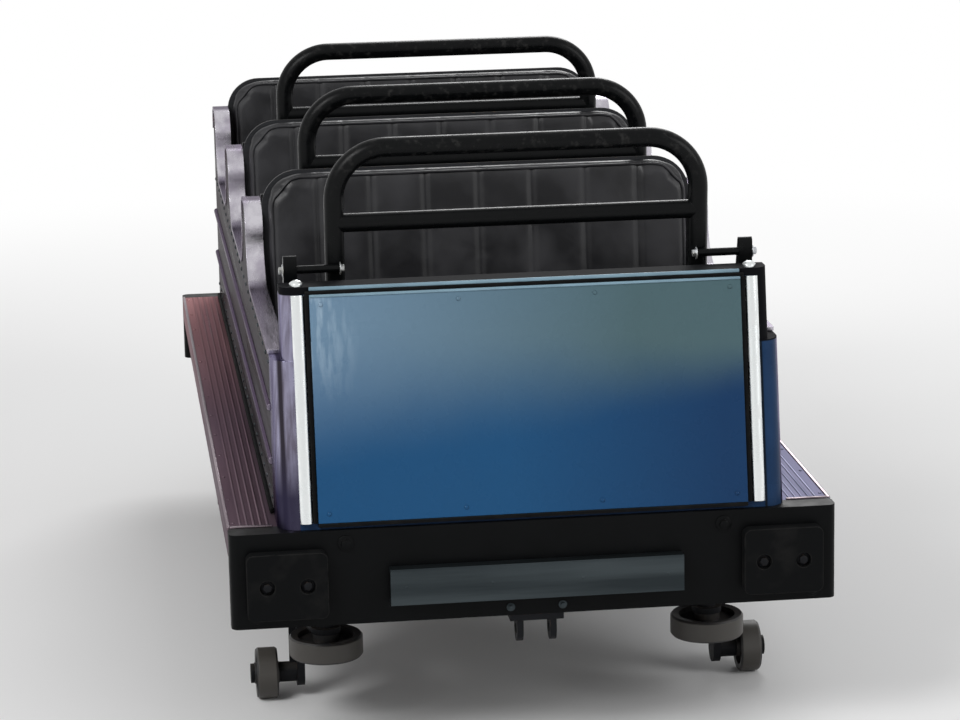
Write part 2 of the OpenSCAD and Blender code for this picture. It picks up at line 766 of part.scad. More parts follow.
module crest(x, grow) {
    half = crest_l / 2 + grow;
    top = crest_z + grow;
    round_r = crest_round + grow;
    foot_r = crest_foot - grow;
    low = low_z + grow;
    translate([x - half, deck_z]) square([2 * half, top - round_r - deck_z]);
    translate([x - half + round_r, deck_z]) square([2 * (half - round_r), top - deck_z]);
    for (side = SIDES) {
        translate([x + side * (half - round_r), top - round_r]) circle(round_r);
        difference() {
            translate([x + side * (half + foot_r / 2) - foot_r / 2, low - 1])
                square([foot_r, foot_r + 1]);
            translate([x + side * (half + foot_r), low + foot_r]) circle(foot_r);
        }
    }
}

module side_wall() color(bright) across(wall_in, body_w / 2) wall_outline(0);

module side_left() side_wall();
module side_right() mirror([0, 1, 0]) side_wall();

module side_mouldings() color("#e4e6ea") {
    both_sides() {
        across(wall_in, body_w / 2 + moulding_lip) difference() {
            intersection() {
                wall_outline(moulding_t);
                translate([rear_x, low_z]) square([nose_rear_x - rear_x, 2 * crest_h]);
            }
            wall_outline(0);
        }
        for (i = [1:belt_n])
            translate([rear_x, body_w / 2, deck_z + wall_h * i / (belt_n + 1)])
                rotate([90, 0, 90]) linear_extrude(nose_rear_x - rear_x) half_round(belt_d);
    }
}

// back panel between the walls, with rounded upper corners
module rear_panel() color(blue)
    translate([rear_x, 0, deck_z]) rotate([90, 0, 90]) linear_extrude(rear_panel_t) {
        r = rear_panel_round;
        h = crest_z - deck_z;
        translate([-wall_in, 0]) square([2 * wall_in, h - r]);
        translate([-wall_in + r, 0]) square([2 * (wall_in - r), h]);
        for (side = SIDES) translate([side * (wall_in - r), h - r]) circle(r);
    }

// Nose

// plan of the nose: flat front at x = 0 with two round corners
module nose_plan(half, r, inset) {
    translate([-half, -half + inset]) square([half - r, 2 * (half - inset)]);
    translate([-half, -half + r]) square([half - inset, 2 * (half - r)]);
    for (side = SIDES) translate([-r, side * (half - r)]) circle(r - inset);
}

// nose block that leans back, cut off level between z0 and z1
module nose_block(half, r, inset, z0, z1) {
    intersection() {
        translate([nose_front_x, 0, deck_z]) rotate([0, -nose_lean, 0])
            translate([0, 0, -reach]) linear_extrude(nose_h + 2 * reach)
                nose_plan(half, r, inset);
        block(nose_rear_x - (inset > 0 ? 1 : 0), front_x, -body_w, body_w, z0, z1);
    }
}

module nose_shell() color(blue) difference() {
    union() {
        nose_block(body_w / 2, nose_round, 0, deck_z, low_z);
        nose_block(body_w / 2 - nose_step, nose_top_round, 0, low_z, nose_z);
    }
    nose_block(body_w / 2, nose_round, nose_t, deck_z - 1, low_z - nose_t);
    nose_block(body_w / 2 - nose_step, nose_top_round, nose_t, low_z - nose_t - 1,
               nose_z - nose_t);
}

// frame of the nose's sloping face: x out of the face, z up the slope
module on_nose() {
    translate([nose_front_x, 0, deck_z]) rotate([0, -nose_lean, 0]) children();
}

sign_half = sign_w / 2 - strip_w - strip_gap;

module sign_board() color(blue) on_nose()
    block(0, sign_t, -sign_half, sign_half, sign_low, sign_low + sign_h);

module sign_strips() color("#eef0f2") {
    on_nose() for (side = SIDES)
        translate([0, side * (sign_w / 2 - strip_w / 2), sign_low])
            linear_extrude(sign_h) half_round(strip_w);
    // domed caps on the nose's top, behind the strips
    for (side = SIDES)
        translate([nose_front_x - nose_h * tan(nose_lean) - cap_d / 2 - 3,
                   side * (sign_w / 2 - strip_w / 2), nose_z]) {
            cylinder(h = 6, d = cap_d);
            intersection() {
                translate([0, 0, 6 - cap_d * 0.35]) sphere(r = cap_d * 0.61);
                translate([0, 0, 6]) cylinder(h = cap_d, d = cap_d);
            }
        }
}

// Seats

// seat box between the tub's sides, with a seat board that spans to the walls
module seat_bases() color("#232427")
    for (row = ROWS) translate([seat_x(row), 0, 0]) {
        rear = -back_depth + 6;
        box_x = cushion_l - box_back;
        box_z = base_z - seat_board_t;
        block(rear, box_x, -deck_in, deck_in, floor_z, box_z);
        block(rear, cushion_l - board_back, -wall_in, wall_in, box_z, base_z);
        both_sides() block(rear, box_x, deck_in, wall_in, deck_z, box_z);
    }

module seat_cushion(row) color(black)
    translate([seat_x(row), 0, 0]) across(-wall_in + soft_gap, wall_in - soft_gap) {
        // the back pad's lean brings its foot forward
        x0 = cushion_t * tan(back_lean) + cushion_gap;
        z0 = base_z;
        translate([x0, z0]) square([cushion_l - x0 - cushion_round, cushion_t]);
        translate([x0, z0]) square([cushion_l - x0, cushion_t - cushion_round]);
        translate([cushion_l - cushion_round, seat_z - cushion_round]) circle(cushion_round);
    }

module seat_cushion_1() seat_cushion(1);
module seat_cushion_2() seat_cushion(2);
module seat_cushion_3() seat_cushion(3);

// Panel of a seat back, drawn leaning. The pad's face meets z = seat_z at the bench's x
module seat_back_panel(row, from, thick, half, low) {
    intersection() {
        translate([seat_x(row), 0, seat_z]) rotate([0, -back_lean, 0])
            translate([-from - thick, 0, 0]) rotate([90, 0, 90]) linear_extrude(thick) {
                up = back_h / cos(back_lean);
                translate([-half, -reach]) square([2 * half, up + reach - back_round]);
                translate([-half + back_round, -reach])
                    square([2 * (half - back_round), up + reach]);
                for (side = SIDES) translate([side * (half - back_round), up - back_round])
                    circle(back_round);
            }
        block(rear_x, front_x, -body_w, body_w, low, low + 2 * back_h);
    }
}

module seat_boards() color("#232427")
    for (row = ROWS) seat_back_panel(row, back_pad_t, back_board_t, wall_in, base_z);

module back_pad(row) color(black)
    seat_back_panel(row, 0, back_pad_t - soft_gap, wall_in - back_pad_gap,
                    base_z + back_pad_gap);

module back_pad_1() back_pad(1);
module back_pad_2() back_pad(2);
module back_pad_3() back_pad(3);

// Lap bars

bar_y = bar_w / 2 - bar_d / 2;
boss_in = bar_y - 22;
boss_out = bar_y + 32;
bracket_in = wall_in - bracket_t;

// frame of a raised bar: origin on the pivot axis, z up along the leaning legs
module on_bar(row) {
    translate([bar_x(row), 0, pivot_z]) rotate([0, bar_lean, 0]) children();
}

// tube hoop with two bent corners, a cross tube and a bored boss at each foot
module lap_bar(row) color(black) on_bar(row) {
    difference() {
        union() {
            both_sides() {
                y_rod(0, 0, pivot_d / 2 + 11, boss_in, boss_out);
                translate([0, bar_y, 0]) cylinder(h = bar_r - bar_bend, d = bar_d);
                translate([0, bar_y - bar_bend, bar_r - bar_bend]) rotate([90, 0, 90])
                    rotate_extrude(angle = 90) translate([bar_bend, 0]) circle(d = bar_d);
            }
            y_rod(0, bar_r, bar_d / 2, -bar_y + bar_bend, bar_y - bar_bend);
            y_rod(0, bar_r - cross_drop, cross_d / 2, -bar_y, bar_y);
        }
        y_rod(0, 0, pivot_d / 2 + run_fit, -body_w, body_w);
    }
}

module lap_bar_1() lap_bar(1);
module lap_bar_2() lap_bar(2);
module lap_bar_3() lap_bar(3);

// upright plates on the walls' inner faces, each with a pivot pin and a stop peg
stop_h = bracket_h - 32;
stop_d = 18;
bracket_r = 44;
bracket_tip_r = 11;
// the bracket's tip stands over the stop peg
bracket_tip_x = stop_h * tan(bar_lean) + bar_d / 2 / cos(bar_lean) + stop_d / 2 + stop_gap;

module bar_brackets() color(black)
    for (row = ROWS) both_sides() translate([bar_x(row), 0, pivot_z]) {
        across(bracket_in, wall_in) {
            circle(bracket_r);
            polygon([
                [-bracket_r, 0], [bracket_tip_x - bracket_tip_r, bracket_h - bracket_tip_r],
                [bracket_tip_x + bracket_tip_r, bracket_h - bracket_tip_r], [bracket_r, 0]
            ]);
            translate([bracket_tip_x, bracket_h - bracket_tip_r]) circle(bracket_tip_r);
        }
        y_rod(0, 0, pivot_d / 2 + 8, boss_out + 3, bracket_in);
        y_rod(0, 0, pivot_d / 2, boss_in - 6, boss_out + 3);
        // peg in front of the raised leg
        y_rod(bracket_tip_x, stop_h, stop_d / 2, bar_y - 8, bracket_in);
    }

frame_rails();
cross_members();
front_beam();
rear_beam();
buffer_pads();
bumper_plate();
tow_bracket();
drawbar();
brake_runners();
dog_brackets();
chain_dog();
rollback_dog();
axle_front();
axle_rear();
carrier_front_left();
carrier_front_right();
carrier_rear_left();
carrier_rear_right();
road_wheel_front_left();
road_wheel_front_right();
road_wheel_rear_left();
road_wheel_rear_right();
guide_wheel_front_left();
guide_wheel_front_right();
guide_wheel_rear_left();
guide_wheel_rear_right();
upstop_wheel_front_left();
upstop_wheel_front_right();
upstop_wheel_rear_left();
upstop_wheel_rear_right();
foot_tub();
running_board_left();
running_board_right();
side_left();
side_right();
side_mouldings();
nose_shell();
sign_board();
sign_strips();
rear_panel();
seat_bases();
seat_cushion_1();
seat_cushion_2();
seat_cushion_3();
seat_boards();
back_pad_1();
back_pad_2();
back_pad_3();
bar_brackets();
lap_bar_1();
lap_bar_2();
lap_bar_3();
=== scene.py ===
"""A three-bench car of a wooden roller coaster: its finishes and the small pieces on its frame.

Lengths are in metres, in the frame's own axes: +X to the car's front, +Y to its left, +Z up.
"""

import json
import math
import random

import bpy
from mathutils import Matrix, Quaternion, Vector
from mathutils.bvhtree import BVHTree


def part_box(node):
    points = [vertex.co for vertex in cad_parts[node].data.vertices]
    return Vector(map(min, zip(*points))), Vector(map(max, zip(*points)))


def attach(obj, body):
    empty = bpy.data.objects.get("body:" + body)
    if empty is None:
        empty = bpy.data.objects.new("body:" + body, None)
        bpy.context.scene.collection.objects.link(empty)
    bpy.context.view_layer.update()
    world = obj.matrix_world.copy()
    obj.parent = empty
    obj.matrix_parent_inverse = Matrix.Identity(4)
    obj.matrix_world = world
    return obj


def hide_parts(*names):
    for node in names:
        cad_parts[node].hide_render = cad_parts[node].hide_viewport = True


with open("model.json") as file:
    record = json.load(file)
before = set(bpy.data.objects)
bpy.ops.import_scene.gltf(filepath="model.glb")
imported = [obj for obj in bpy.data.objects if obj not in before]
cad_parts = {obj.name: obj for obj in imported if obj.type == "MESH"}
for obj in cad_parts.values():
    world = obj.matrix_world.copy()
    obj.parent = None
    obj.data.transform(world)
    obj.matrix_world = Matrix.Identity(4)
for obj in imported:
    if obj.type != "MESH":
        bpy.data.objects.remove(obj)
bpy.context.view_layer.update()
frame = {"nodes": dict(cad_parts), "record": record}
scene = bpy.context.scene
random.seed(7)

MM = 0.001
X, Y, Z = Vector((1, 0, 0)), Vector((0, 1, 0)), Vector((0, 0, 1))
ROWS = (1, 2, 3)
SIDES = (1, -1)
CORNERS = [(end, side) for end in ("front", "rear") for side in ("left", "right")]

low, high = {}, {}
for node_name in frame["nodes"]:
    low[node_name], high[node_name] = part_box(node_name)
openings = {o["name"]: [Vector(c) for c in o["box_m"]]
            for o in frame["record"]["physics"]["openings"]}
pivots = {j["child"]: Vector(j["pos_m"]) for j in frame["record"]["behaviour"]["joints"]}

# places that several pieces share
DECK = high["running_board_left"].z
WALL_IN, WALL_OUT = low["side_left"].y, high["side_left"].y
WALL_BACK, WALL_FRONT = low["side_left"].x, high["side_left"].x
BOARD_BACK, BOARD_FRONT = low["running_board_left"].x, high["running_board_left"].x
BOARD_OUT = high["running_board_left"].y
ROW_PITCH = low["seat_cushion_1"].x - low["seat_cushion_2"].x
SIGN_HALF, STRIP_OUT = high["sign_board"].y, high["sign_strips"].y
NOSE_LEAN = math.radians(10)
BACK_LEAN = math.radians(6)
WALL_H = 365 * MM
NOSE_H = high["nose_shell"].z - DECK
STRIP_W = 30 * MM
# the sign's foot and top, up the leaning nose from the deck
SIGN_LOW, SIGN_TOP = 14 * MM, 514 * MM
NOSE_FRAME = (Matrix.Translation((high["nose_shell"].x, 0, DECK))
              @ Matrix.Rotation(-NOSE_LEAN, 4, "Y"))


# Camera

CAMERA_AT = Vector((8.42, -0.97, 2.55))
CAMERA_AIM = Vector((0.24, 0.02, 0.645))
CAMERA_LENS = 126
# the photograph's own tilt, which lifts the car's left side in the picture
CAMERA_ROLL = math.radians(-1.1)


def place_camera():
    """The photograph's viewpoint, with a longer lens so that the car fills the frame."""
    bpy.ops.object.camera_add(location=CAMERA_AT)
    camera = bpy.context.active_object
    aim = (CAMERA_AIM - CAMERA_AT).to_track_quat("-Z", "Y")
    camera.rotation_euler = (aim @ Quaternion((0, 0, 1), CAMERA_ROLL)).to_euler()
    camera.data.lens = CAMERA_LENS
    camera.data.sensor_width = 36
    scene.camera = camera


# Nodes

def linear(hex_colour):
    """An sRGB colour such as #24467f as the linear colour that Blender takes."""
    parts = [int(hex_colour[i:i + 2], 16) / 255 for i in (1, 3, 5)]
    return tuple(c / 12.92 if c <= 0.04045 else ((c + 0.055) / 1.055) ** 2.4
                 for c in parts) + (1.0,)


def add(tree, kind, inputs=None, out=0, **settings):
    """Adds a node and returns one of its outputs. inputs gives each socket its value, or the
    output that is linked to it."""
    made = tree.nodes.new("ShaderNode" + kind)
    for key, value in settings.items():
        setattr(made, key, value)
    for key, value in (inputs or {}).items():
        if isinstance(value, bpy.types.NodeSocket):
            tree.links.new(value, made.inputs[key])
        else:
            made.inputs[key].default_value = value
    return made.outputs[out] if made.outputs else None


def new_material(name):
    material = bpy.data.materials.new(name)
    material.use_nodes = True
    material.node_tree.nodes.clear()
    return material, material.node_tree


def show(tree, shader):
    add(tree, "OutputMaterial", {"Surface": shader})


def around(tree, centre=(0, 0, 0), repeats=(1, 1, 1)):
    """Object coordinates centred on a point and stretched, for patterns in real sizes."""
    spot = add(tree, "TexCoord", out="Object")
    spot = add(tree, "VectorMath", {0: spot, 1: centre}, operation="SUBTRACT")
    return add(tree, "Mapping", {"Vector": spot, "Scale": repeats})


def soft_edge(tree, radius_mm):
    """Normal that rounds a piece's edges over by a radius."""
    return add(tree, "Bevel", {"Radius": radius_mm * MM}, samples=4)


def worn_edges(tree, radius_mm, grain_mm, wear):
    """1 in patches along the outer edges, where paint or polish has gone, and 0 on the faces. The
    more wear, the larger the patches."""
    rounded = soft_edge(tree, radius_mm)
    face = add(tree, "NewGeometry", out="Normal")
    same = add(tree, "VectorMath", {0: rounded, 1: face}, "Value", operation="DOT_PRODUCT")
    edge = add(tree, "MapRange", {0: same, 1: 0.99, 2: 0.80})
    grain = add(tree, "TexNoise", {"Vector": around(tree), "Scale": 1000 / grain_mm,
                                   "Detail": 6.0, "Roughness": 0.7})
    patch = add(tree, "MapRange", {0: grain, 1: 1 - wear, 2: 1.08 - wear})
    return add(tree, "Math", {0: edge, 1: patch}, operation="MULTIPLY")


def settled_dust(tree, grain_mm, most):
    """Dust that lies on faces that look up, thicker in patches."""
    normal = add(tree, "NewGeometry", out="Normal")
    up = add(tree, "SeparateXYZ", {0: normal}, "Z")
    level = add(tree, "MapRange", {0: up, 1: 0.35, 2: 0.95})
    cloud = add(tree, "TexNoise", {"Vector": around(tree), "Scale": 1000 / grain_mm,
                                   "Detail": 5.0})
    patch = add(tree, "MapRange", {0: cloud, 1: 0.35, 2: 0.75, 3: most * 0.2, 4: most})
    return add(tree, "Math", {0: level, 1: patch}, operation="MULTIPLY")


def uneven(tree, paint, pattern, thin, thick):
    """A paint's colour, darker where a pattern is low and lighter where it is high."""
    shade = add(tree, "MapRange", {0: pattern, 1: 0.3, 2: 0.7, 3: thin, 4: thick})
    return add(tree, "VectorMath", {0: linear(paint)[:3], "Scale": shade}, operation="SCALE")


def orange_peel(tree, spot, strength):
    """The ripple of sprayed paint, drawn at 3 mm so that it shows, over rounded edges."""
    peel = add(tree, "TexNoise", {"Vector": spot, "Scale": 1000 / 3.0, "Detail": 2.0})
    return add(tree, "Bump", {"Height": peel, "Normal": soft_edge(tree, 1.6),
                              "Strength": strength, "Distance": 0.6 * MM})


# Finishes

def painted_steel(name, paint, under, rough, sheen, chip_mm, wear, dust_most):
    """Paint on steel: slightly uneven, chipped to what is under it along its edges, dusty on top."""
    material, tree = new_material(name)
    spot = around(tree)
    cloud = add(tree, "TexNoise", {"Vector": spot, "Scale": 9.0, "Detail": 4.0})
    colour = uneven(tree, paint, cloud, 0.82, 1.15)
    chips = worn_edges(tree, 2.2, chip_mm, wear)
    colour = add(tree, "Mix", {0: chips, 6: colour, 7: linear(under)}, 2, data_type="RGBA")
    dust = settled_dust(tree, 60, dust_most)
    colour = add(tree, "Mix", {0: dust, 6: colour, 7: linear("#6d675e")}, 2, data_type="RGBA")
    wiped = add(tree, "TexNoise", {"Vector": spot, "Scale": 24.0, "Detail": 6.0})
    roughness = add(tree, "MapRange", {0: wiped, 1: 0.3, 2: 0.75, 3: rough, 4: rough + 0.22})
    show(tree, add(tree, "BsdfPrincipled", {
        "Base Color": colour, "Roughness": roughness, "Normal": orange_peel(tree, spot, 0.12),
        "Specular IOR Level": sheen}))
    return material


def worked_steel(name, metal, stain, rough, along, scratch_mm):
    """Bare steel, worn bright along its length, with grease and stains in patches. along gives
    the patterns' repeats on each axis, few where the streaks run."""
    material, tree = new_material(name)
    streak = add(tree, "TexNoise", {"Vector": around(tree, repeats=along),
                                    "Scale": 1000 / scratch_mm, "Detail": 3.0})
    cloud = add(tree, "TexNoise", {"Vector": around(tree, repeats=along), "Scale": 26.0,
                                   "Detail": 6.0})
    patch = add(tree, "MapRange", {0: cloud, 1: 0.42, 2: 0.66})
    colour = add(tree, "Mix", {0: patch, 6: linear(metal), 7: linear(stain)}, 2,
                 data_type="RGBA")
    roughness = add(tree, "MapRange", {0: streak, 1: 0.3, 2: 0.7, 3: rough, 4: rough + 0.2})
    bump = add(tree, "Bump", {"Height": streak, "Normal": soft_edge(tree, 1.5),
                              "Strength": 0.25, "Distance": 0.2 * MM})
    metalness = add(tree, "MapRange", {0: patch, 3: 1.0, 4: 0.55})
    show(tree, add(tree, "BsdfPrincipled", {
        "Base Color": colour, "Roughness": roughness, "Metallic": metalness, "Normal": bump}))
    return material


def sheet_aluminium(name, metal, shadow, rough, wave_depth, streak_mm, along=0, tints=(),
                    edge_on_shade="#ffffff"):
    """Polished aluminium sheet: brushed along its length, a little wavy from its pressing, with
    long dull bands where it is rubbed. Each tint has an axis, the places where it starts and is
    full, its share there and its colour. A tint on its reflection, a painted shade, dims it where
    it is seen edge on."""
    material, tree = new_material(name)
    brushed = add(tree, "TexNoise", {
        "Vector": around(tree, repeats=[0.02 if i == along else 1 for i in range(3)]),
        "Scale": 1000 / streak_mm, "Detail": 4.0})
    lengthwise = around(tree, repeats=[0.05 if i == along else 1 for i in range(3)])
    band = add(tree, "TexNoise", {"Vector": lengthwise, "Scale": 1000 / 38, "Detail": 4.0})
    wave = add(tree, "TexNoise", {"Vector": lengthwise, "Scale": 1000 / 110, "Detail": 1.0})
    dull = add(tree, "MapRange", {0: band, 1: 0.36, 2: 0.66})
    colour = add(tree, "Mix", {0: dull, 6: linear(metal), 7: linear(shadow)}, 2,
                 data_type="RGBA")
    for axis, start, full, most, tint in tints:
        place = add(tree, "SeparateXYZ", {0: around(tree)}, axis)
        share = add(tree, "MapRange", {0: place, 1: start, 2: full, 4: most})
        colour = add(tree, "Mix", {0: share, 6: colour, 7: linear(tint)}, 2, data_type="RGBA")
    rubbed = add(tree, "Math", {0: brushed, 1: dull}, operation="ADD")
    roughness = add(tree, "MapRange", {0: rubbed, 1: 0.3, 2: 1.5, 3: rough, 4: rough + 0.22})
    heights = add(tree, "Bump", {"Height": wave, "Normal": soft_edge(tree, 1.8),
                                 "Strength": 0.5, "Distance": wave_depth * MM})
    scratches = add(tree, "Bump", {"Height": brushed, "Normal": heights, "Strength": 0.2,
                                   "Distance": 0.1 * MM})
    # the Specular Tint colour darkens the reflection seen edge on: painted shade, not dirt
    show(tree, add(tree, "BsdfPrincipled", {
        "Base Color": colour, "Roughness": roughness, "Metallic": 1.0, "Normal": scratches,
        "Specular Tint": linear(edge_on_shade)}))
    return material


def nose_areas(tree, place, left_edge):
    """Where the nose is bare sheet, on its sides and its front's right edge, and where it is
    black, on its top, its inside and its left above the shoulder."""
    shoulder, sign_top = DECK + WALL_H, high["sign_board"].z
    facing = add(tree, "SeparateXYZ", {0: add(tree, "NewGeometry", out="Normal")}).node.outputs
    hand = add(tree, "Math", {0: place["Y"]}, operation="SIGN")
    outward = add(tree, "Math", {0: facing["Y"], 1: hand}, operation="MULTIPLY")
    side = add(tree, "MapRange", {0: outward, 1: 0.80, 2: 0.90})
    right_edge = add(tree, "MapRange", {0: place["Y"], 1: -STRIP_OUT + 3 * MM,
                                        2: -STRIP_OUT + 1 * MM})
    bare = add(tree, "Math", {0: side, 1: right_edge}, operation="MAXIMUM")
    above = add(tree, "MapRange", {0: place["Z"], 1: shoulder - 4 * MM, 2: shoulder - 2 * MM})
    black = add(tree, "Math", {0: left_edge, 1: above}, operation="MULTIPLY")
    crown = add(tree, "MapRange", {0: place["Z"], 1: sign_top - 3 * MM, 2: sign_top - 1 * MM})
    backward = add(tree, "MapRange", {0: facing["X"], 1: -0.6, 2: -0.7})
    inward = add(tree, "MapRange", {0: outward, 1: -0.3, 2: -0.4})
    for area in (crown, backward, inward):
        black = add(tree, "Math", {0: black, 1: area}, operation="MAXIMUM")
    return bare, black


def nose_blue(tree, place, left_edge, cloud):
    """The blue, slightly uneven, with painted shade in the crevice beside the sign's left strip."""
    paint = uneven(tree, "#1d3554", cloud, 0.85, 1.15)
    # painted shade in the crevice beside the left strip
    crevice_shade = add(tree, "MapRange", {0: place["Y"], 1: STRIP_OUT + 6 * MM, 2: STRIP_OUT + 4 * MM})
    crevice_shade = add(tree, "Math", {0: crevice_shade, 1: left_edge}, operation="MULTIPLY")
    return add(tree, "Mix", {0: crevice_shade, 6: paint, 7: linear("#0d1720")}, 2, data_type="RGBA")


def nose_sheet(tree, place):
    """The bare sheet, with upright streaks that are painted reflections. One dark upright lane, a
    little way in from the edge, is painted shade on the corner's bend, and the sheet is darker
    near its foot."""
    lane_y, lane_out, lane_in = -STRIP_OUT - 29 * MM, 8 * MM, 3 * MM
    foot_dark_top, foot_dark_full = 0.73, 0.61
    # upright pale and dark streaks: painted reflections
    streak = add(tree, "TexNoise", {"Vector": around(tree, repeats=(1, 1, 0.012)),
                                    "Scale": 1000 / 14, "Detail": 3.0})
    dull = add(tree, "MapRange", {0: streak, 1: 0.38, 2: 0.66, 4: 0.7})
    metal = add(tree, "Mix", {0: dull, 6: linear("#9b98b0"), 7: linear("#564e59")}, 2,
                data_type="RGBA")
    # one dark upright lane on the corner's bend: painted shade
    off_lane = add(tree, "Math", {0: place["Y"], 1: lane_y}, operation="SUBTRACT")
    off_lane = add(tree, "Math", {0: off_lane}, operation="ABSOLUTE")
    bend_shade = add(tree, "MapRange", {0: off_lane, 1: lane_out, 2: lane_in})
    metal = add(tree, "Mix", {0: bend_shade, 6: metal, 7: linear("#37333b")}, 2, data_type="RGBA")
    # darker towards the foot
    grime = add(tree, "MapRange", {0: place["Z"], 1: foot_dark_top, 2: foot_dark_full, 4: 0.94})
    return add(tree, "Mix", {0: grime, 6: metal, 7: linear("#2f2c40")}, 2, data_type="RGBA")


def nose_enamel():
    """Deep blue enamel on the nose's front, with its black places and its bare polished sheet."""
    material, tree = new_material("deep_blue_enamel")
    spot = around(tree)
    place = add(tree, "SeparateXYZ", {0: spot}).node.outputs
    left_edge = add(tree, "MapRange", {0: place["Y"], 1: STRIP_OUT - 1 * MM, 2: STRIP_OUT})
    cloud = add(tree, "TexNoise", {"Vector": spot, "Scale": 11.0, "Detail": 4.0})
    bare, black = nose_areas(tree, place, left_edge)
    paint, metal = nose_blue(tree, place, left_edge, cloud), nose_sheet(tree, place)
    colour = add(tree, "Mix", {0: bare, 6: paint, 7: metal}, 2, data_type="RGBA")
    chips = worn_edges(tree, 2.2, 10, 0.36)
    colour = add(tree, "Mix", {0: chips, 6: colour, 7: linear("#14233f")}, 2, data_type="RGBA")
    colour = add(tree, "Mix", {0: black, 6: colour, 7: linear("#08090a")}, 2, data_type="RGBA")
    metalness = add(tree, "Math", {0: bare, 1: black}, operation="SUBTRACT", use_clamp=True)
    gloss = add(tree, "MapRange", {0: cloud, 1: 0.3, 2: 0.75, 3: 0.2, 4: 0.36})
    roughness = add(tree, "MapRange", {0: black, 3: gloss, 4: 0.8})
    # the lavender Specular Tint colours the enamel's reflections: painted reflection
    show(tree, add(tree, "BsdfPrincipled", {
        "Base Color": colour, "Roughness": roughness, "Metallic": metalness,
        "Normal": orange_peel(tree, spot, 0.1), "Specular IOR Level": 0.15,
        "Specular Tint": linear("#b9b6c8")}))
    return material


def moulded_rubber():
    """Moulded rubber: dull, finely pitted, chalky where it is knocked."""
    material, tree = new_material("moulded_rubber")
    pits = add(tree, "TexVoronoi", {"Vector": around(tree), "Scale": 1000 / 2.4})
    chalk = worn_edges(tree, 4, 18, 0.62)
    cloud = add(tree, "TexNoise", {"Vector": around(tree), "Scale": 17.0, "Detail": 6.0})
    scuff = add(tree, "MapRange", {0: cloud, 1: 0.52, 2: 0.76, 4: 0.3})
    pale = add(tree, "Math", {0: chalk, 1: scuff}, operation="MAXIMUM")
    colour = add(tree, "Mix", {0: pale, 6: linear("#0b0c0d"), 7: linear("#2b2a29")}, 2,
                 data_type="RGBA")
    bump = add(tree, "Bump", {"Height": pits, "Normal": soft_edge(tree, 4),
                              "Strength": 0.25, "Distance": 0.3 * MM})
    show(tree, add(tree, "BsdfPrincipled", {
        "Base Color": colour, "Roughness": 0.78, "Normal": bump,
        "Specular IOR Level": 0.08}))
    return material


def turned_wheel(name, centre, axis, tread_r, web, tread, tread_metal, tread_rough):
    """A wheel painted on its web and bare on its running face, which is polished in fine rings."""
    material, tree = new_material(name)
    spot = around(tree, centre)
    flatten = [0 if i == axis else 1 for i in range(3)]
    spoke = add(tree, "VectorMath", {0: spot, 1: flatten}, operation="MULTIPLY")
    radius = add(tree, "VectorMath", {0: spoke}, "Value", operation="LENGTH")
    face = add(tree, "MapRange", {0: radius, 1: tread_r - 1.2 * MM, 2: tread_r - 0.6 * MM})
    rings = add(tree, "TexNoise", {"Vector": around(tree), "Scale": 1000 / 1.4, "Detail": 2.0})
    cloud = add(tree, "TexNoise", {"Vector": around(tree), "Scale": 48.0, "Detail": 6.0})
    grime = add(tree, "MapRange", {0: cloud, 1: 0.35, 2: 0.7, 4: 0.55})
    painted = add(tree, "Mix", {0: grime, 6: linear(web), 7: linear("#3b342d")}, 2,
                  data_type="RGBA")
    colour = add(tree, "Mix", {0: face, 6: painted, 7: linear(tread)}, 2, data_type="RGBA")
    metalness = add(tree, "MapRange", {0: face, 4: tread_metal})
    roughness = add(tree, "MapRange", {0: face, 3: 0.5, 4: tread_rough})
    bump = add(tree, "Bump", {"Height": rings, "Normal": soft_edge(tree, 1.5),
                              "Strength": 0.15, "Distance": 0.3 * MM})
    show(tree, add(tree, "BsdfPrincipled", {
        "Base Color": colour, "Roughness": roughness, "Metallic": metalness, "Normal": bump}))
    return material


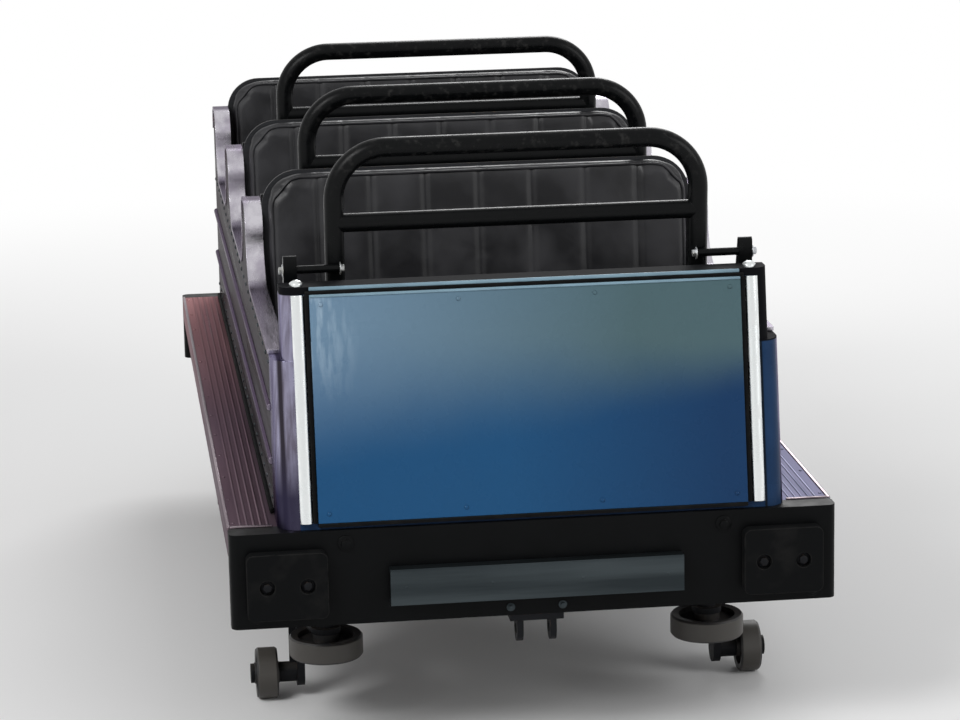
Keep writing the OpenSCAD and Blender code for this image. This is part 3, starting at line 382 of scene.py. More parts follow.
def sign_enamel():
    """Gloss enamel on sheet, faded from deep blue at the foot to pale teal at the top. It fades
    slowly on the car's right, with pale streaks near that upper corner that are painted
    highlights, and quickly on its left. It is paler on the car's right and darker on its left,
    as painted light and painted shade."""
    material, tree = new_material("faded_enamel")
    foot, top = low["sign_board"].z, high["sign_board"].z
    highlights_from = -360 * MM
    spot = around(tree)
    place = add(tree, "SeparateXYZ", {0: spot}).node.outputs
    cloud = add(tree, "TexNoise", {"Vector": spot, "Scale": 5.0, "Detail": 3.0})
    drift = add(tree, "MapRange", {0: cloud, 3: -22 * MM, 4: 22 * MM})
    height = add(tree, "Math", {0: place["Z"], 1: drift}, operation="ADD")
    down = add(tree, "MapRange", {0: height, 1: top, 2: foot})
    left = add(tree, "MapRange", {0: place["Y"], 1: -SIGN_HALF, 2: SIGN_HALF})
    start = add(tree, "MapRange", {0: left, 3: 0.10, 4: 0.27})
    full = add(tree, "MapRange", {0: left, 3: 0.80, 4: 0.54})
    blue = add(tree, "MapRange", {0: down, 1: start, 2: full}, interpolation_type="SMOOTHSTEP")
    # paler teal and blue on the car's right, darker on its left: painted light and painted shade
    light_to_shade = add(tree, "MapRange", {0: left, 1: 0.0, 2: 0.75})
    shaded = add(tree, "MapRange", {0: left, 1: 0.45, 2: 0.95})
    teal = add(tree, "Mix", {0: light_to_shade, 6: linear("#6a869e"), 7: linear("#4a6268")}, 2,
               data_type="RGBA")
    deep = add(tree, "Mix", {0: shaded, 6: linear("#184b75"), 7: linear("#0f355c")}, 2,
               data_type="RGBA")
    colour = add(tree, "Mix", {0: blue, 6: teal, 7: deep}, 2, data_type="RGBA")
    # pale streaks near the upper corner on the car's right: painted highlights
    streak = add(tree, "TexNoise", {"Vector": around(tree, repeats=(1, 1, 0.12)), "Scale": 60.0,
                                    "Detail": 4.0})
    thin = add(tree, "MapRange", {0: streak, 1: 0.5, 2: 0.7, 4: 0.7})
    side = add(tree, "MapRange", {0: place["Y"], 1: highlights_from, 2: -SIGN_HALF})
    rise = add(tree, "MapRange", {0: down, 1: 0.5, 2: 0.15})
    corner = add(tree, "Math", {0: side, 1: rise}, operation="MULTIPLY")
    scuff = add(tree, "Math", {0: corner, 1: thin}, operation="MULTIPLY")
    colour = add(tree, "Mix", {0: scuff, 6: colour, 7: linear("#a5bacb")}, 2, data_type="RGBA")
    edge = worn_edges(tree, 3, 9, 0.48)
    colour = add(tree, "Mix", {0: edge, 6: colour, 7: linear("#16283c")}, 2, data_type="RGBA")
    wave = add(tree, "TexNoise", {"Vector": spot, "Scale": 7.0, "Detail": 1.0})
    bump = add(tree, "Bump", {"Height": wave, "Normal": soft_edge(tree, 2), "Strength": 0.3,
                              "Distance": 2.5 * MM})
    wiped = add(tree, "TexNoise", {"Vector": spot, "Scale": 21.0, "Detail": 6.0})
    roughness = add(tree, "MapRange", {0: wiped, 1: 0.3, 2: 0.7, 3: 0.2, 4: 0.38})
    show(tree, add(tree, "BsdfPrincipled", {
        "Base Color": colour, "Roughness": roughness, "Normal": bump,
        "Specular IOR Level": 0.18}))
    return material


def painted_plywood():
    """Birch plywood under black paint: its long grain shows through, edges are rubbed bare."""
    material, tree = new_material("painted_plywood")
    grain = add(tree, "TexNoise", {"Vector": around(tree, repeats=(1, 0.05, 1)),
                                   "Scale": 1000 / 5.0, "Detail": 5.0})
    colour = uneven(tree, "#212225", grain, 0.7, 1.3)
    bare = worn_edges(tree, 2.5, 14, 0.42)
    colour = add(tree, "Mix", {0: bare, 6: colour, 7: linear("#8a6c4a")}, 2, data_type="RGBA")
    colour = add(tree, "Mix", {0: settled_dust(tree, 50, 0.3), 6: colour, 7: linear("#6a645b")},
                 2, data_type="RGBA")
    bump = add(tree, "Bump", {"Height": grain, "Normal": soft_edge(tree, 2), "Strength": 0.35,
                              "Distance": 0.5 * MM})
    show(tree, add(tree, "BsdfPrincipled", {
        "Base Color": colour, "Roughness": 0.55, "Normal": bump,
        "Specular IOR Level": 0.25}))
    return material


def grained_vinyl():
    """Vinyl over foam: a leather-like grain, drawn at 3 mm so that it shows, shiny where riders
    slide over it."""
    material, tree = new_material("grained_vinyl")
    spot = around(tree)
    cells = add(tree, "TexVoronoi", {"Vector": spot, "Scale": 1000 / 3.0},
                feature="DISTANCE_TO_EDGE")
    fold = add(tree, "TexNoise", {"Vector": spot, "Scale": 1000 / 70, "Detail": 5.0,
                                  "Distortion": 0.6})
    rubbed = add(tree, "TexNoise", {"Vector": spot, "Scale": 7.0, "Detail": 3.0})
    worn = add(tree, "MapRange", {0: rubbed, 1: 0.4, 2: 0.68})
    colour = add(tree, "Mix", {0: worn, 6: linear("#141417"), 7: linear("#2a2a2d")}, 2,
                 data_type="RGBA")
    roughness = add(tree, "MapRange", {0: worn, 3: 0.34, 4: 0.56})
    grain = add(tree, "MapRange", {0: cells, 1: 0.0, 2: 0.12})
    wrinkles = add(tree, "Bump", {"Height": fold, "Strength": 0.35, "Distance": 3 * MM})
    bump = add(tree, "Bump", {"Height": grain, "Normal": wrinkles, "Strength": 0.22,
                              "Distance": 0.4 * MM})
    show(tree, add(tree, "BsdfPrincipled", {
        "Base Color": colour, "Roughness": roughness, "Normal": bump,
        "Specular IOR Level": 0.4}))
    return material


def gripped_paint():
    """Gloss black paint on tube, thin and greyed along the top of each hoop, where hands hold it."""
    grip_from, grip_full = 1.22, 1.35
    material, tree = new_material("gripped_paint")
    spot = around(tree)
    height = add(tree, "SeparateXYZ", {0: spot}, "Z")
    held = add(tree, "MapRange", {0: height, 1: grip_from, 2: grip_full})
    cloud = add(tree, "TexNoise", {"Vector": spot, "Scale": 55.0, "Detail": 7.0,
                                   "Roughness": 0.65})
    thin = add(tree, "MapRange", {0: cloud, 1: 0.54, 2: 0.68})
    patch = add(tree, "Math", {0: held, 1: thin}, operation="MULTIPLY")
    patch = add(tree, "Math", {0: patch, 1: 0.35}, operation="MULTIPLY")
    chips = worn_edges(tree, 2, 7, 0.4)
    patch = add(tree, "Math", {0: patch, 1: chips}, operation="MAXIMUM")
    colour = add(tree, "Mix", {0: patch, 6: linear("#08090a"), 7: linear("#474645")}, 2,
                 data_type="RGBA")
    metalness = add(tree, "MapRange", {0: patch, 4: 0.7})
    roughness = add(tree, "MapRange", {0: cloud, 1: 0.3, 2: 0.7, 3: 0.22, 4: 0.42})
    bump = add(tree, "Bump", {"Height": cloud, "Normal": soft_edge(tree, 1.5), "Strength": 0.1,
                              "Distance": 0.3 * MM})
    show(tree, add(tree, "BsdfPrincipled", {
        "Base Color": colour, "Roughness": roughness, "Metallic": metalness, "Normal": bump,
        "Specular IOR Level": 0.12}))
    return material


FINISH = {
    # satin black alkyd over red-brown primer
    "frame_paint": painted_steel("satin_black_paint", "#111215", "#4c3527", 0.42, 0.12, 12, 0.46,
                                 dust_most=0.22),
    # hammered scale, greasy, with bright rubbed places
    "forged_steel": worked_steel("forged_steel", "#77716a", "#2c2723", 0.34, (1, 1, 1), 4),
    # ground bright along the car by the brakes
    "runner_steel": worked_steel("ground_steel", "#aba8a3", "#837d75", 0.24, (0.02, 1, 1), 1.6),
    # black enamel, dulled by grease
    "beam_paint": painted_steel("black_enamel", "#070809", "#1f1e1d", 0.3, 0.08, 10, 0.4,
                                dust_most=0.03),
    "buffer_rubber": moulded_rubber(),
    # mill finish, its colour darkened as painted shade from dark surroundings, rolled and scuffed
    # across the car
    "bumper_aluminium": sheet_aluminium("mill_aluminium", "#454c4f", "#31373a", 0.34, 0.4, 2,
                                        along=1),
    # dull floor enamel, rubbed through at its edges and dusty
    "tub_paint": painted_steel("floor_paint", "#1b1c1f", "#5c5148", 0.5, 0.25, 9, 0.5,
                               dust_most=0.4),
    # shoes brush the boards dull; their mauve, warmer towards the back and cooler on the left one,
    # is painted reflection, and a painted shade dims them seen edge on
    "tread_plate": sheet_aluminium("tread_aluminium", "#8d7d84", "#756770", 0.26, 0.4, 1.2,
                                   tints=(("X", 0.3, -1.1, 0.8, "#b88e8c"),
                                          ("Y", -0.1, 0.1, 0.8, "#747b8c")), edge_on_shade="#948b92"),
    # polished sheet, smooth and grey; a painted reflection makes it a little warmer towards the
    # back, and a painted shade darkens it seen edge on
    "side_aluminium": sheet_aluminium("polished_sheet", "#a5a3a6", "#969397", 0.2, 0.25, 1.0,
                                      tints=(("X", 0.9, -1.1, 0.3, "#9c9294"),), edge_on_shade="#21191e"),
    # rolled trim, the brightest metal on the car
    "moulding_aluminium": sheet_aluminium("bright_moulding", "#f3f6f6", "#e6eaea", 0.12, 0.1,
                                          1.4),
    "nose_paint": nose_enamel(),
    "sign_enamel": sign_enamel(),
    "seat_wood": painted_plywood(),
    "seat_vinyl": grained_vinyl(),
    "bar_paint": gripped_paint(),
}
# zinc-plated steel of the bright fasteners
ZINC = worked_steel("zinc_plate", "#c9ccd0", "#9a9890", 0.26, (1, 1, 1), 3)
# rolled edging, scuffed by shoes; its mauve is painted reflection
BOARD_TRIM = sheet_aluminium("board_trim", "#94868d", "#6c6067", 0.22, 0.2, 1.4)
# steel lips above the sign, enamelled pale as painted highlights on their edges
LIP_HIGHLIGHT = painted_steel("lip_highlight_enamel", "#7d99a8", "#2f4652", 0.3, 0.18, 8, 0.4, dust_most=0.05)
PIECE_FINISH = {
    # the walls' edge beading is bright, the belts below it are darker, and a painted shade dims
    # both seen edge on
    "side_mouldings": sheet_aluminium("pressed_moulding", "#d9d6dd", "#a8a2ae", 0.14, 0.3, 1.4,
                                      tints=(("Z", 0.86, 0.84, 0.85, "#7d7382"),),
                                      edge_on_shade="#8d8791"),
    # the nose's blue, lightly dusty
    "rear_panel": painted_steel("panel_enamel", "#1d3554", "#14233f", 0.26, 0.2, 10, 0.36,
                                dust_most=0.1),
}


def wheel_finish(name):
    """Each wheel's finish is centred on its own axle, for its running face and its rings."""
    centre = (low[name] + high[name]) / 2
    tread_r = (high[name] - low[name]).x / 2
    if name.startswith("road"):
        return turned_wheel(name + "_iron", centre, 1, tread_r, "#1b1c1f", "#8f8c87", 0.9, 0.3)
    axis = 2 if name.startswith("guide") else 1
    return turned_wheel(name + "_nylon", centre, axis, tread_r, "#1c1d20", "#3d3a36", 0.0, 0.45)


def finish_frame():
    for part in frame["record"]["subparts"]:
        piece = frame["nodes"][part["node"]]
        material = (PIECE_FINISH.get(part["node"]) or FINISH.get(part["material_slot"])
                    or wheel_finish(part["node"]))
        piece.data.materials.clear()
        piece.data.materials.append(material)


# Modelling helpers

def only(*pieces):
    """Selects these pieces alone, the first one active."""
    bpy.ops.object.select_all(action="DESELECT")
    for piece in pieces:
        piece.select_set(True)
    bpy.context.view_layer.objects.active = pieces[0]


def edit(piece, *steps):
    """Runs edit-mode steps on a piece whose faces and edges are chosen already."""
    only(piece)
    bpy.ops.object.mode_set(mode="EDIT")
    for step in steps:
        step()
    bpy.ops.object.mode_set(mode="OBJECT")


def choose_all():
    """An edit-mode step that selects the whole piece."""
    bpy.ops.mesh.select_all(action="SELECT")


def choose_faces(piece, test):
    """Selects the faces whose centre and normal pass a test, and nothing else."""
    only(piece)
    bpy.ops.object.mode_set(mode="EDIT")
    bpy.ops.mesh.select_all(action="DESELECT")
    bpy.ops.mesh.select_mode(type="FACE")
    bpy.ops.object.mode_set(mode="OBJECT")
    for face in piece.data.polygons:
        face.select = test(face.center, face.normal)


def join(pieces):
    only(*pieces)
    bpy.ops.object.join()
    return bpy.context.active_object


def settle(piece, name, slot, body="car", material=None):
    """Puts a piece's place into its mesh, gives it its finish and rides it on its body."""
    only(piece)
    bpy.ops.object.transform_apply(location=True, rotation=True, scale=True)
    piece.name = name
    piece.data.name = name
    piece.data.materials.clear()
    piece.data.materials.append(material or FINISH[slot])
    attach(piece, body)
    return piece


def bar(lo, hi, bevel, segments=2):
    """A bar between two corners, with rounded edges."""
    lo, hi = Vector(lo), Vector(hi)
    bpy.ops.object.select_all(action="DESELECT")
    bpy.ops.mesh.primitive_cube_add(size=1, location=(lo + hi) / 2)
    piece = bpy.context.active_object
    piece.scale = hi - lo
    bpy.ops.object.transform_apply(location=True, rotation=True, scale=True)
    edit(piece, choose_all,
         lambda: bpy.ops.mesh.bevel(offset=bevel, segments=segments, affect="EDGES"))
    only(piece)
    bpy.ops.object.shade_smooth_by_angle(angle=math.radians(35))
    return piece


def side_bars(lo, hi, bevel):
    """A bar on the car's left between two corners, and its mirror image on the right."""
    made = []
    for side in SIDES:
        y0, y1 = sorted((side * lo[1], side * hi[1]))
        made.append(bar((lo[0], y0, lo[2]), (hi[0], y1, hi[2]), bevel))
    return made


def drum(radius, height, sides, bevel, foot=0.0):
    """An upright disc or prism that stands at a height, with its upper edge broken."""
    bpy.ops.object.select_all(action="DESELECT")
    bpy.ops.mesh.primitive_cylinder_add(vertices=sides, radius=radius, depth=height,
                                        location=(0, 0, foot + height / 2))
    piece = bpy.context.active_object
    only(piece)
    bpy.ops.object.transform_apply(location=True, rotation=True, scale=True)
    choose_faces(piece, lambda centre, normal: normal.z > 0.9)
    edit(piece, lambda: bpy.ops.mesh.inset(thickness=bevel),
         lambda: bpy.ops.transform.translate(value=(0, 0, bevel * 0.8)))
    only(piece)
    bpy.ops.object.shade_smooth_by_angle(angle=math.radians(40))
    return piece


def hex_bolt(across):
    """A hexagon head on a round washer, standing on z = 0."""
    washer_t = across * 0.12
    washer = drum(across * 0.95, washer_t, 20, across * 0.05)
    head = drum(across / math.sqrt(3), across * 0.5, 6, across * 0.09, foot=washer_t)
    return join([head, washer])


def dome(radius):
    """A round-headed rivet or carriage bolt, standing on z = 0."""
    bpy.ops.object.select_all(action="DESELECT")
    bpy.ops.mesh.primitive_uv_sphere_add(segments=12, ring_count=8, radius=radius)
    piece = bpy.context.active_object
    edit(piece, choose_all,
         lambda: bpy.ops.mesh.bisect(plane_co=(0, 0, 0), plane_no=(0, 0, 1), use_fill=True,
                                     clear_inner=True),
         choose_all,
         lambda: bpy.ops.transform.resize(value=(1, 1, 0.55), center_override=(0, 0, 0)))
    only(piece)
    bpy.ops.object.shade_smooth()
    return piece


def copies(master, places, name, slot, body="car", material=None):
    """Sets a copy of a small piece at each place, a point and the way that it faces, and joins
    them. Each copy is turned a little differently, as fasteners are."""
    made = []
    for at, facing in places:
        twin = master.copy()
        twin.data = master.data.copy()
        scene.collection.objects.link(twin)
        turn = Vector(facing).to_track_quat("Z", "Y").to_matrix().to_4x4()
        spin = Matrix.Rotation(random.uniform(0, math.tau), 4, "Z")
        twin.data.transform(Matrix.Translation(at) @ turn @ spin)
        made.append(twin)
    bpy.data.objects.remove(master)
    return settle(join(made), name, slot, body, material)


def mirrored(places):
    """The same places on both sides of the car."""
    return [(Vector((at[0], side * at[1], at[2])), Vector((facing[0], side * facing[1], facing[2])))
            for side in SIDES for at, facing in places]


def spread(start, stop, pitch):
    """Evenly spaced values from start to stop, about a pitch apart."""
    count = max(1, round(abs(stop - start) / pitch))
    return [start + (stop - start) * i / count for i in range(count + 1)]


# Nose and sign

def trim_sign():
    """Black rubber in the joints round the sign, two enamelled lips above it, pale as painted
    highlights on their edges, and its screws.
    """
    joint_out = STRIP_OUT - STRIP_W
    nose_top = NOSE_H / math.cos(NOSE_LEAN)
    play, gap = 0.3 * MM, 0.5 * MM
    side_proud, foot_proud, head_proud = 9 * MM, 13 * MM, 10 * MM
    foot_h, head_h, head_over = 9 * MM, 8 * MM, 9 * MM
    beads = side_bars((0, SIGN_HALF + play, SIGN_LOW), (side_proud, joint_out - play, SIGN_TOP),
                      1.5 * MM)
    beads.append(bar((0, -SIGN_HALF, SIGN_LOW - foot_h),
                     (foot_proud, SIGN_HALF, SIGN_LOW - gap), 2 * MM))
    beads.append(bar((0, -SIGN_HALF - head_over, SIGN_TOP + gap),
                     (head_proud, SIGN_HALF + head_over, SIGN_TOP + head_h), 1.5 * MM))
    bead = join(beads)
    bead.data.transform(NOSE_FRAME)
    settle(bead, "sign_bead", "buffer_rubber")
    lip_h, lip_proud, cap_proud = 6 * MM, 15 * MM, 6 * MM
    lip = join([bar((1 * MM, -SIGN_HALF, SIGN_TOP - lip_h),
                    (lip_proud, SIGN_HALF, SIGN_TOP + play), 2 * MM),
                bar((-1 * MM, -SIGN_HALF, SIGN_TOP + head_h + gap),
                    (cap_proud, SIGN_HALF, nose_top), 2 * MM)])
    lip.data.transform(NOSE_FRAME)
    # the lips' pale enamel is a painted highlight of their edges
    settle(lip, "sign_lip", "sign_enamel", material=LIP_HIGHLIGHT)
    sign_face, edge_in, pitch = 12 * MM, 24 * MM, 300 * MM
    screws = [(NOSE_FRAME @ Vector((sign_face, y, up)), NOSE_FRAME.to_3x3() @ X)
              for y in spread(-SIGN_HALF + edge_in, SIGN_HALF - edge_in, pitch)
              for up in (SIGN_LOW + 20 * MM, SIGN_TOP - 22 * MM)]
    copies(dome(5 * MM), screws, "sign_screws", "sign_enamel")


# Body sides and running boards

def dress_walls():
    """Two rows of rivets along each wall, and a black strip at its foot."""
    low_row, high_row, pitch = DECK + 34 * MM, DECK + WALL_H - 22 * MM, 95 * MM
    rivets = [((x, WALL_OUT, z), Y)
              for x in spread(WALL_BACK + 30 * MM, WALL_FRONT - 20 * MM, pitch)
              for z in (low_row, high_row)]
    copies(dome(5.5 * MM), mirrored(rivets), "wall_rivets", "side_aluminium",
           material=FINISH["bumper_aluminium"])
    strip_w, strip_h = 9 * MM, 12 * MM
    strips = side_bars((BOARD_BACK + 4 * MM, WALL_OUT, DECK),
                       (WALL_FRONT, WALL_OUT + strip_w, DECK + strip_h), 3 * MM)
    settle(join(strips), "wall_foot_strips", "buffer_rubber")


def dress_boards():
    """Ribs along the running boards, edging round them, and their screws."""
    sunk, bevel = 1 * MM, 1.2 * MM
    rib_w, rib_h, rib_in = 6.4 * MM, 1.6 * MM, 6 * MM
    first_rib, rib_pitch, rib_count = WALL_OUT + 20 * MM, 15 * MM, 5
    ribs = []
    for i in range(rib_count):
        middle = first_rib + i * rib_pitch
        ribs += side_bars((BOARD_BACK + rib_in, middle - rib_w / 2, DECK - sunk),
                          (BOARD_FRONT - rib_in, middle + rib_w / 2, DECK + rib_h), bevel)
    settle(join(ribs), "board_ribs", "tread_plate")
    edge_in, edge_h, end_w = BOARD_OUT - 7 * MM, 3 * MM, 9 * MM
    edges = side_bars((BOARD_BACK, edge_in, DECK - sunk),
                      (BOARD_FRONT, BOARD_OUT, DECK + edge_h), bevel)
    edges += side_bars((BOARD_FRONT - end_w, WALL_OUT + 10 * MM, DECK - sunk),
                       (BOARD_FRONT, edge_in, DECK + edge_h), bevel)
    settle(join(edges), "board_edges", "tread_plate", material=BOARD_TRIM)
    screw_y, end_in, pitch = BOARD_OUT - 15 * MM, 40 * MM, 200 * MM
    screws = [((x, screw_y, DECK), Z)
              for x in spread(BOARD_BACK + end_in, BOARD_FRONT - end_in, pitch)]
    copies(dome(4 * MM), mirrored(screws), "board_screws", "tread_plate")


# Ends, brackets and running gear

def bolt_beams():
    """Bolts in the pads' recesses, on both beams and on the drawbar's flange, and rivets on the
    bumper plate."""
    front, rear = high["front_beam"].x, low["rear_beam"].x
    pad_face, plate_face = high["buffer_pads"].x, high["bumper_plate"].x
    recess, rivet_sunk = 11.8 * MM, 2 * MM
    pad_y, bolt_off, pad_drop = 551 * MM, 44.5 * MM, 115 * MM
    pads = [((pad_face - recess, pad_y + hand * bolt_off, DECK - pad_drop), X)
            for hand in (-1, 1)]
    plate_z = (low["bumper_plate"].z + high["bumper_plate"].z) / 2
    plate = [((plate_face - rivet_sunk, y * MM, plate_z), X) for y in (290, 100)]
    low_y, low_drop = 58 * MM, 196 * MM
    copies(hex_bolt(17 * MM), mirrored(pads), "pad_bolts", "frame_paint")
    copies(dome(5 * MM), mirrored(plate), "plate_rivets", "bumper_aluminium")
    copies(hex_bolt(10 * MM), mirrored([((front, low_y, DECK - low_drop), X)]), "tow_bolts",
           "bumper_aluminium")
    # a bolt's distance from the middle plane, and how far below the deck it is
    front_bolts = ((620, 190), (420, 30))
    rear_bolts = ((620, 150), (620, 30), (300, 30), (300, 150))
    bolts = [((front, y * MM, DECK - drop * MM), X) for y, drop in front_bolts]
    bolts += [((rear, y * MM, DECK - drop * MM), -X) for y, drop in rear_bolts]
    copies(hex_bolt(19 * MM), mirrored(bolts), "beam_bolts", "beam_paint")
    flange_x, flange_z = rear - 14 * MM, DECK - 100 * MM
    off_y, off_z = 74 * MM, 44 * MM
    flange = [((flange_x, off_y, flange_z + hand * off_z), -X) for hand in (-1, 1)]
    copies(hex_bolt(19 * MM), mirrored(flange), "drawbar_bolts", "frame_paint")


def bolt_bars():
    """Nuts on the stop pegs and on the pivot pins' inner ends."""
    peg_from_pivot = Vector((48.3 * MM, 0, 203 * MM))
    peg_end_y, pin_end_y = 400 * MM, 380 * MM
    nuts, pegs = [], []
    for row in ROWS:
        pivot = pivots[f"lap_bar_{row}"]
        peg = pivot + peg_from_pivot
        pegs += [((peg.x, WALL_IN, peg.z), Y), ((peg.x, peg_end_y, peg.z), -Y)]
        nuts.append(((pivot.x, pin_end_y, pivot.z), -Y))
    copies(hex_bolt(15 * MM), mirrored(pegs), "peg_nuts", "runner_steel", material=ZINC)
    copies(hex_bolt(24 * MM), mirrored(nuts), "pivot_nuts", "runner_steel", material=ZINC)


def ring(centre, radius, count, turn):
    """Points evenly round a wheel's axle line, the first one turned up from the front."""
    angles = [math.tau * i / count + turn for i in range(count)]
    return [centre + Vector((math.cos(a), 0, math.sin(a))) * radius for a in angles]


def bolt_wheels():
    """Bolts on the carriers' plates and caps, and a ring of bolts on each road wheel's web."""
    cap_proud, cap_ring, cap_turn = 11 * MM, 20 * MM, 0.3
    web_proud, web_ring, web_turn = 9 * MM, 80 * MM, math.tau / 12
    plate_in, bolt_x, bolt_heights = 70 * MM, 44 * MM, (258 * MM, 294 * MM)
    caps, plates = [], []
    for end, side in CORNERS:
        name = f"road_wheel_{end}_{side}"
        way = 1 if side == "left" else -1
        axle, facing = pivots[name], Y * way
        cap_y = (high[name].y if way > 0 else low[name].y) + way * cap_proud
        caps += [(at, facing) for at in ring(Vector((axle.x, cap_y, axle.z)), cap_ring, 3, cap_turn)]
        plate_y = axle.y - way * plate_in
        plates += [(Vector((axle.x + x * bolt_x, plate_y, z)), facing)
                   for x in (-1, 1) for z in bolt_heights]
        web = Vector((axle.x, axle.y + way * web_proud, axle.z))
        bolts = [(at, facing) for at in ring(web, web_ring, 6, web_turn)]
        copies(hex_bolt(14 * MM), bolts, f"web_bolts_{end}_{side}", "wheel_iron", body=name,
               material=FINISH["frame_paint"])
    copies(hex_bolt(10 * MM), caps, "cap_bolts", "runner_steel", material=ZINC)
    copies(hex_bolt(16 * MM), plates, "carrier_bolts", "frame_paint")


def weld_bead(length):
    """A rippled fillet weld along x, made of overlapping drops."""
    drops = []
    for x in spread(-length / 2, length / 2, 7 * MM):
        bpy.ops.object.select_all(action="DESELECT")
        bpy.ops.mesh.primitive_uv_sphere_add(segments=8, ring_count=6, radius=5.5 * MM,
                                             location=(x, 0, 0))
        drops.append(bpy.context.active_object)
    piece = join(drops)
    bpy.ops.object.transform_apply(location=True, rotation=True, scale=True)
    bpy.ops.object.shade_smooth()
    return piece


def weld_frame():
    """Beads where the axle tubes meet the frame rails."""
    along_rail, along_tube, rail_w = 84 * MM, 40 * MM, 44 * MM
    rail_out, rail_z = high["frame_rails"].y, low["frame_rails"].z
    across = Matrix.Rotation(math.pi / 2, 4, "Z")
    made = []
    for node in ("axle_front", "axle_rear"):
        middle = (low[node].x + high[node].x) / 2
        for side in SIDES:
            bead = weld_bead(along_rail)
            bead.data.transform(Matrix.Translation((middle, side * rail_out, rail_z)))
            made.append(bead)
            for end in (low[node].x, high[node].x):
                bead = weld_bead(along_tube)
                at = Matrix.Translation((end, side * (rail_out - rail_w / 2), rail_z))
                bead.data.transform(at @ across)
                made.append(bead)
    settle(join(made), "frame_welds", "frame_paint")


def bolt_panels():
    """Carriage bolts on the back panel and on the seat boards' backs."""
    edge_in, pitch = 40 * MM, 220 * MM
    foot_row, top_row = DECK + 30 * MM, high["rear_panel"].z - 70 * MM
    panel = [(Vector((low["rear_panel"].x, y, z)), -X)
             for y in spread(-WALL_IN + edge_in, WALL_IN - edge_in, pitch)
             for z in (foot_row, top_row)]
    copies(dome(9 * MM), panel, "panel_bolts", "nose_paint", material=PIECE_FINISH["rear_panel"])
    behind_cushion, pad_and_board = 12 * MM, 66 * MM
    facing = Vector((-math.cos(BACK_LEAN), 0, -math.sin(BACK_LEAN)))
    boards = []
    for row in ROWS:
        seat_x, seat_z = low[f"seat_cushion_{row}"].x, high[f"seat_cushion_{row}"].z
        back_x = seat_x - behind_cushion - pad_and_board / math.cos(BACK_LEAN)
        for y in (120 * MM, 300 * MM, 460 * MM):
            for up in (100 * MM, 380 * MM):
                at = Vector((back_x - up * math.tan(BACK_LEAN), y, seat_z + up))
                boards.append((at, facing))
    copies(dome(8 * MM), mirrored(boards), "board_bolts", "seat_wood", material=ZINC)


def lay_mats():
    """A ribbed rubber mat on the floor in front of each bench."""
    floor, mat_t = 430 * MM, 4 * MM
    rib_w, rib_h, rib_sunk, rib_pitch = 10 * MM, 3 * MM, 1 * MM, 26 * MM
    side_in, end_in = 14 * MM, 8 * MM
    mats = []
    for row in ROWS:
        lo, hi = openings[f"leg_space_{row}"]
        top = floor + mat_t
        mats.append(bar((lo.x, lo.y, floor), (hi.x, hi.y, top), 1.5 * MM))
        for y in spread(lo.y + side_in, hi.y - side_in, rib_pitch):
            mats.append(bar((lo.x + end_in, y - rib_w / 2, top - rib_sunk),
                            (hi.x - end_in, y + rib_w / 2, top + rib_h), 1.8 * MM, segments=1))
    settle(join(mats), "floor_mats", "buffer_rubber")


# Upholstery

VOXEL = 11 * MM
CHANNELS = 8


def seam_lines(half):
    """Across the car, the places of the sewn lines between the channels."""
    return [-half + 2 * half * i / CHANNELS for i in range(1, CHANNELS)]


def upright_block(node, name, lean):
    """A copy of a node's soft block, turned upright about its foot, and that turn."""
    piece = bpy.data.objects.new(name, frame["nodes"][node].data.copy())
    scene.collection.objects.link(piece)
    foot = Matrix.Translation((high[node].x, 0, low[node].z))
    turn = foot @ Matrix.Rotation(lean, 4, "Y") @ foot.inverted()
    piece.data.transform(turn)
    edit(piece, choose_all,
         lambda: bpy.ops.mesh.remove_doubles(threshold=1e-5),
         lambda: bpy.ops.mesh.normals_make_consistent(inside=False))
    return piece, turn


def apply_modifier(piece, name):
    only(piece)
    bpy.ops.object.modifier_apply(modifier=name)


def even_mesh(piece, shrink):
    """Shrinks the block on all sides and gives it an even mesh, which can swell."""
    edit(piece, choose_all,
         lambda: bpy.ops.transform.shrink_fatten(value=-shrink))
    remesh = piece.modifiers.new("Remesh", "REMESH")
    remesh.mode = "VOXEL"
    remesh.voxel_size = VOXEL
    apply_modifier(piece, "Remesh")


def hold(piece, lines, out_of_face, face_out):
    """Holds the sewn lines on the face, and the whole back."""
    face_depth, back_depth = 5 * MM, 4 * MM
    held = piece.vertex_groups.new(name="sewn")
    for vertex in piece.data.vertices:
        sewn = min(abs(vertex.co.y - line) for line in lines) < VOXEL * 0.5
        front = out_of_face(vertex.co) > face_out - face_depth
        back = out_of_face(vertex.co) < back_depth - face_out
        if (sewn and front) or back:
            held.add([vertex.index], 1.0, "REPLACE")


def swell(piece, cap):
    """Blows the piece up, and draws back each point that moved further than the cap."""
    before = [v.co.copy() for v in piece.data.vertices]
    inflate(piece)
    for vertex, start in zip(piece.data.vertices, before):
        move = vertex.co - start
        if move.length > cap:
            vertex.co = start + move * (cap / move.length)


def keep_inside(piece, block):
    """Keeps each point just inside the block's own space."""
    margin = 0.6 * MM
    for vertex in piece.data.vertices:
        for i in range(3):
            vertex.co[i] = min(max(vertex.co[i], block[0][i] + margin), block[1][i] - margin)


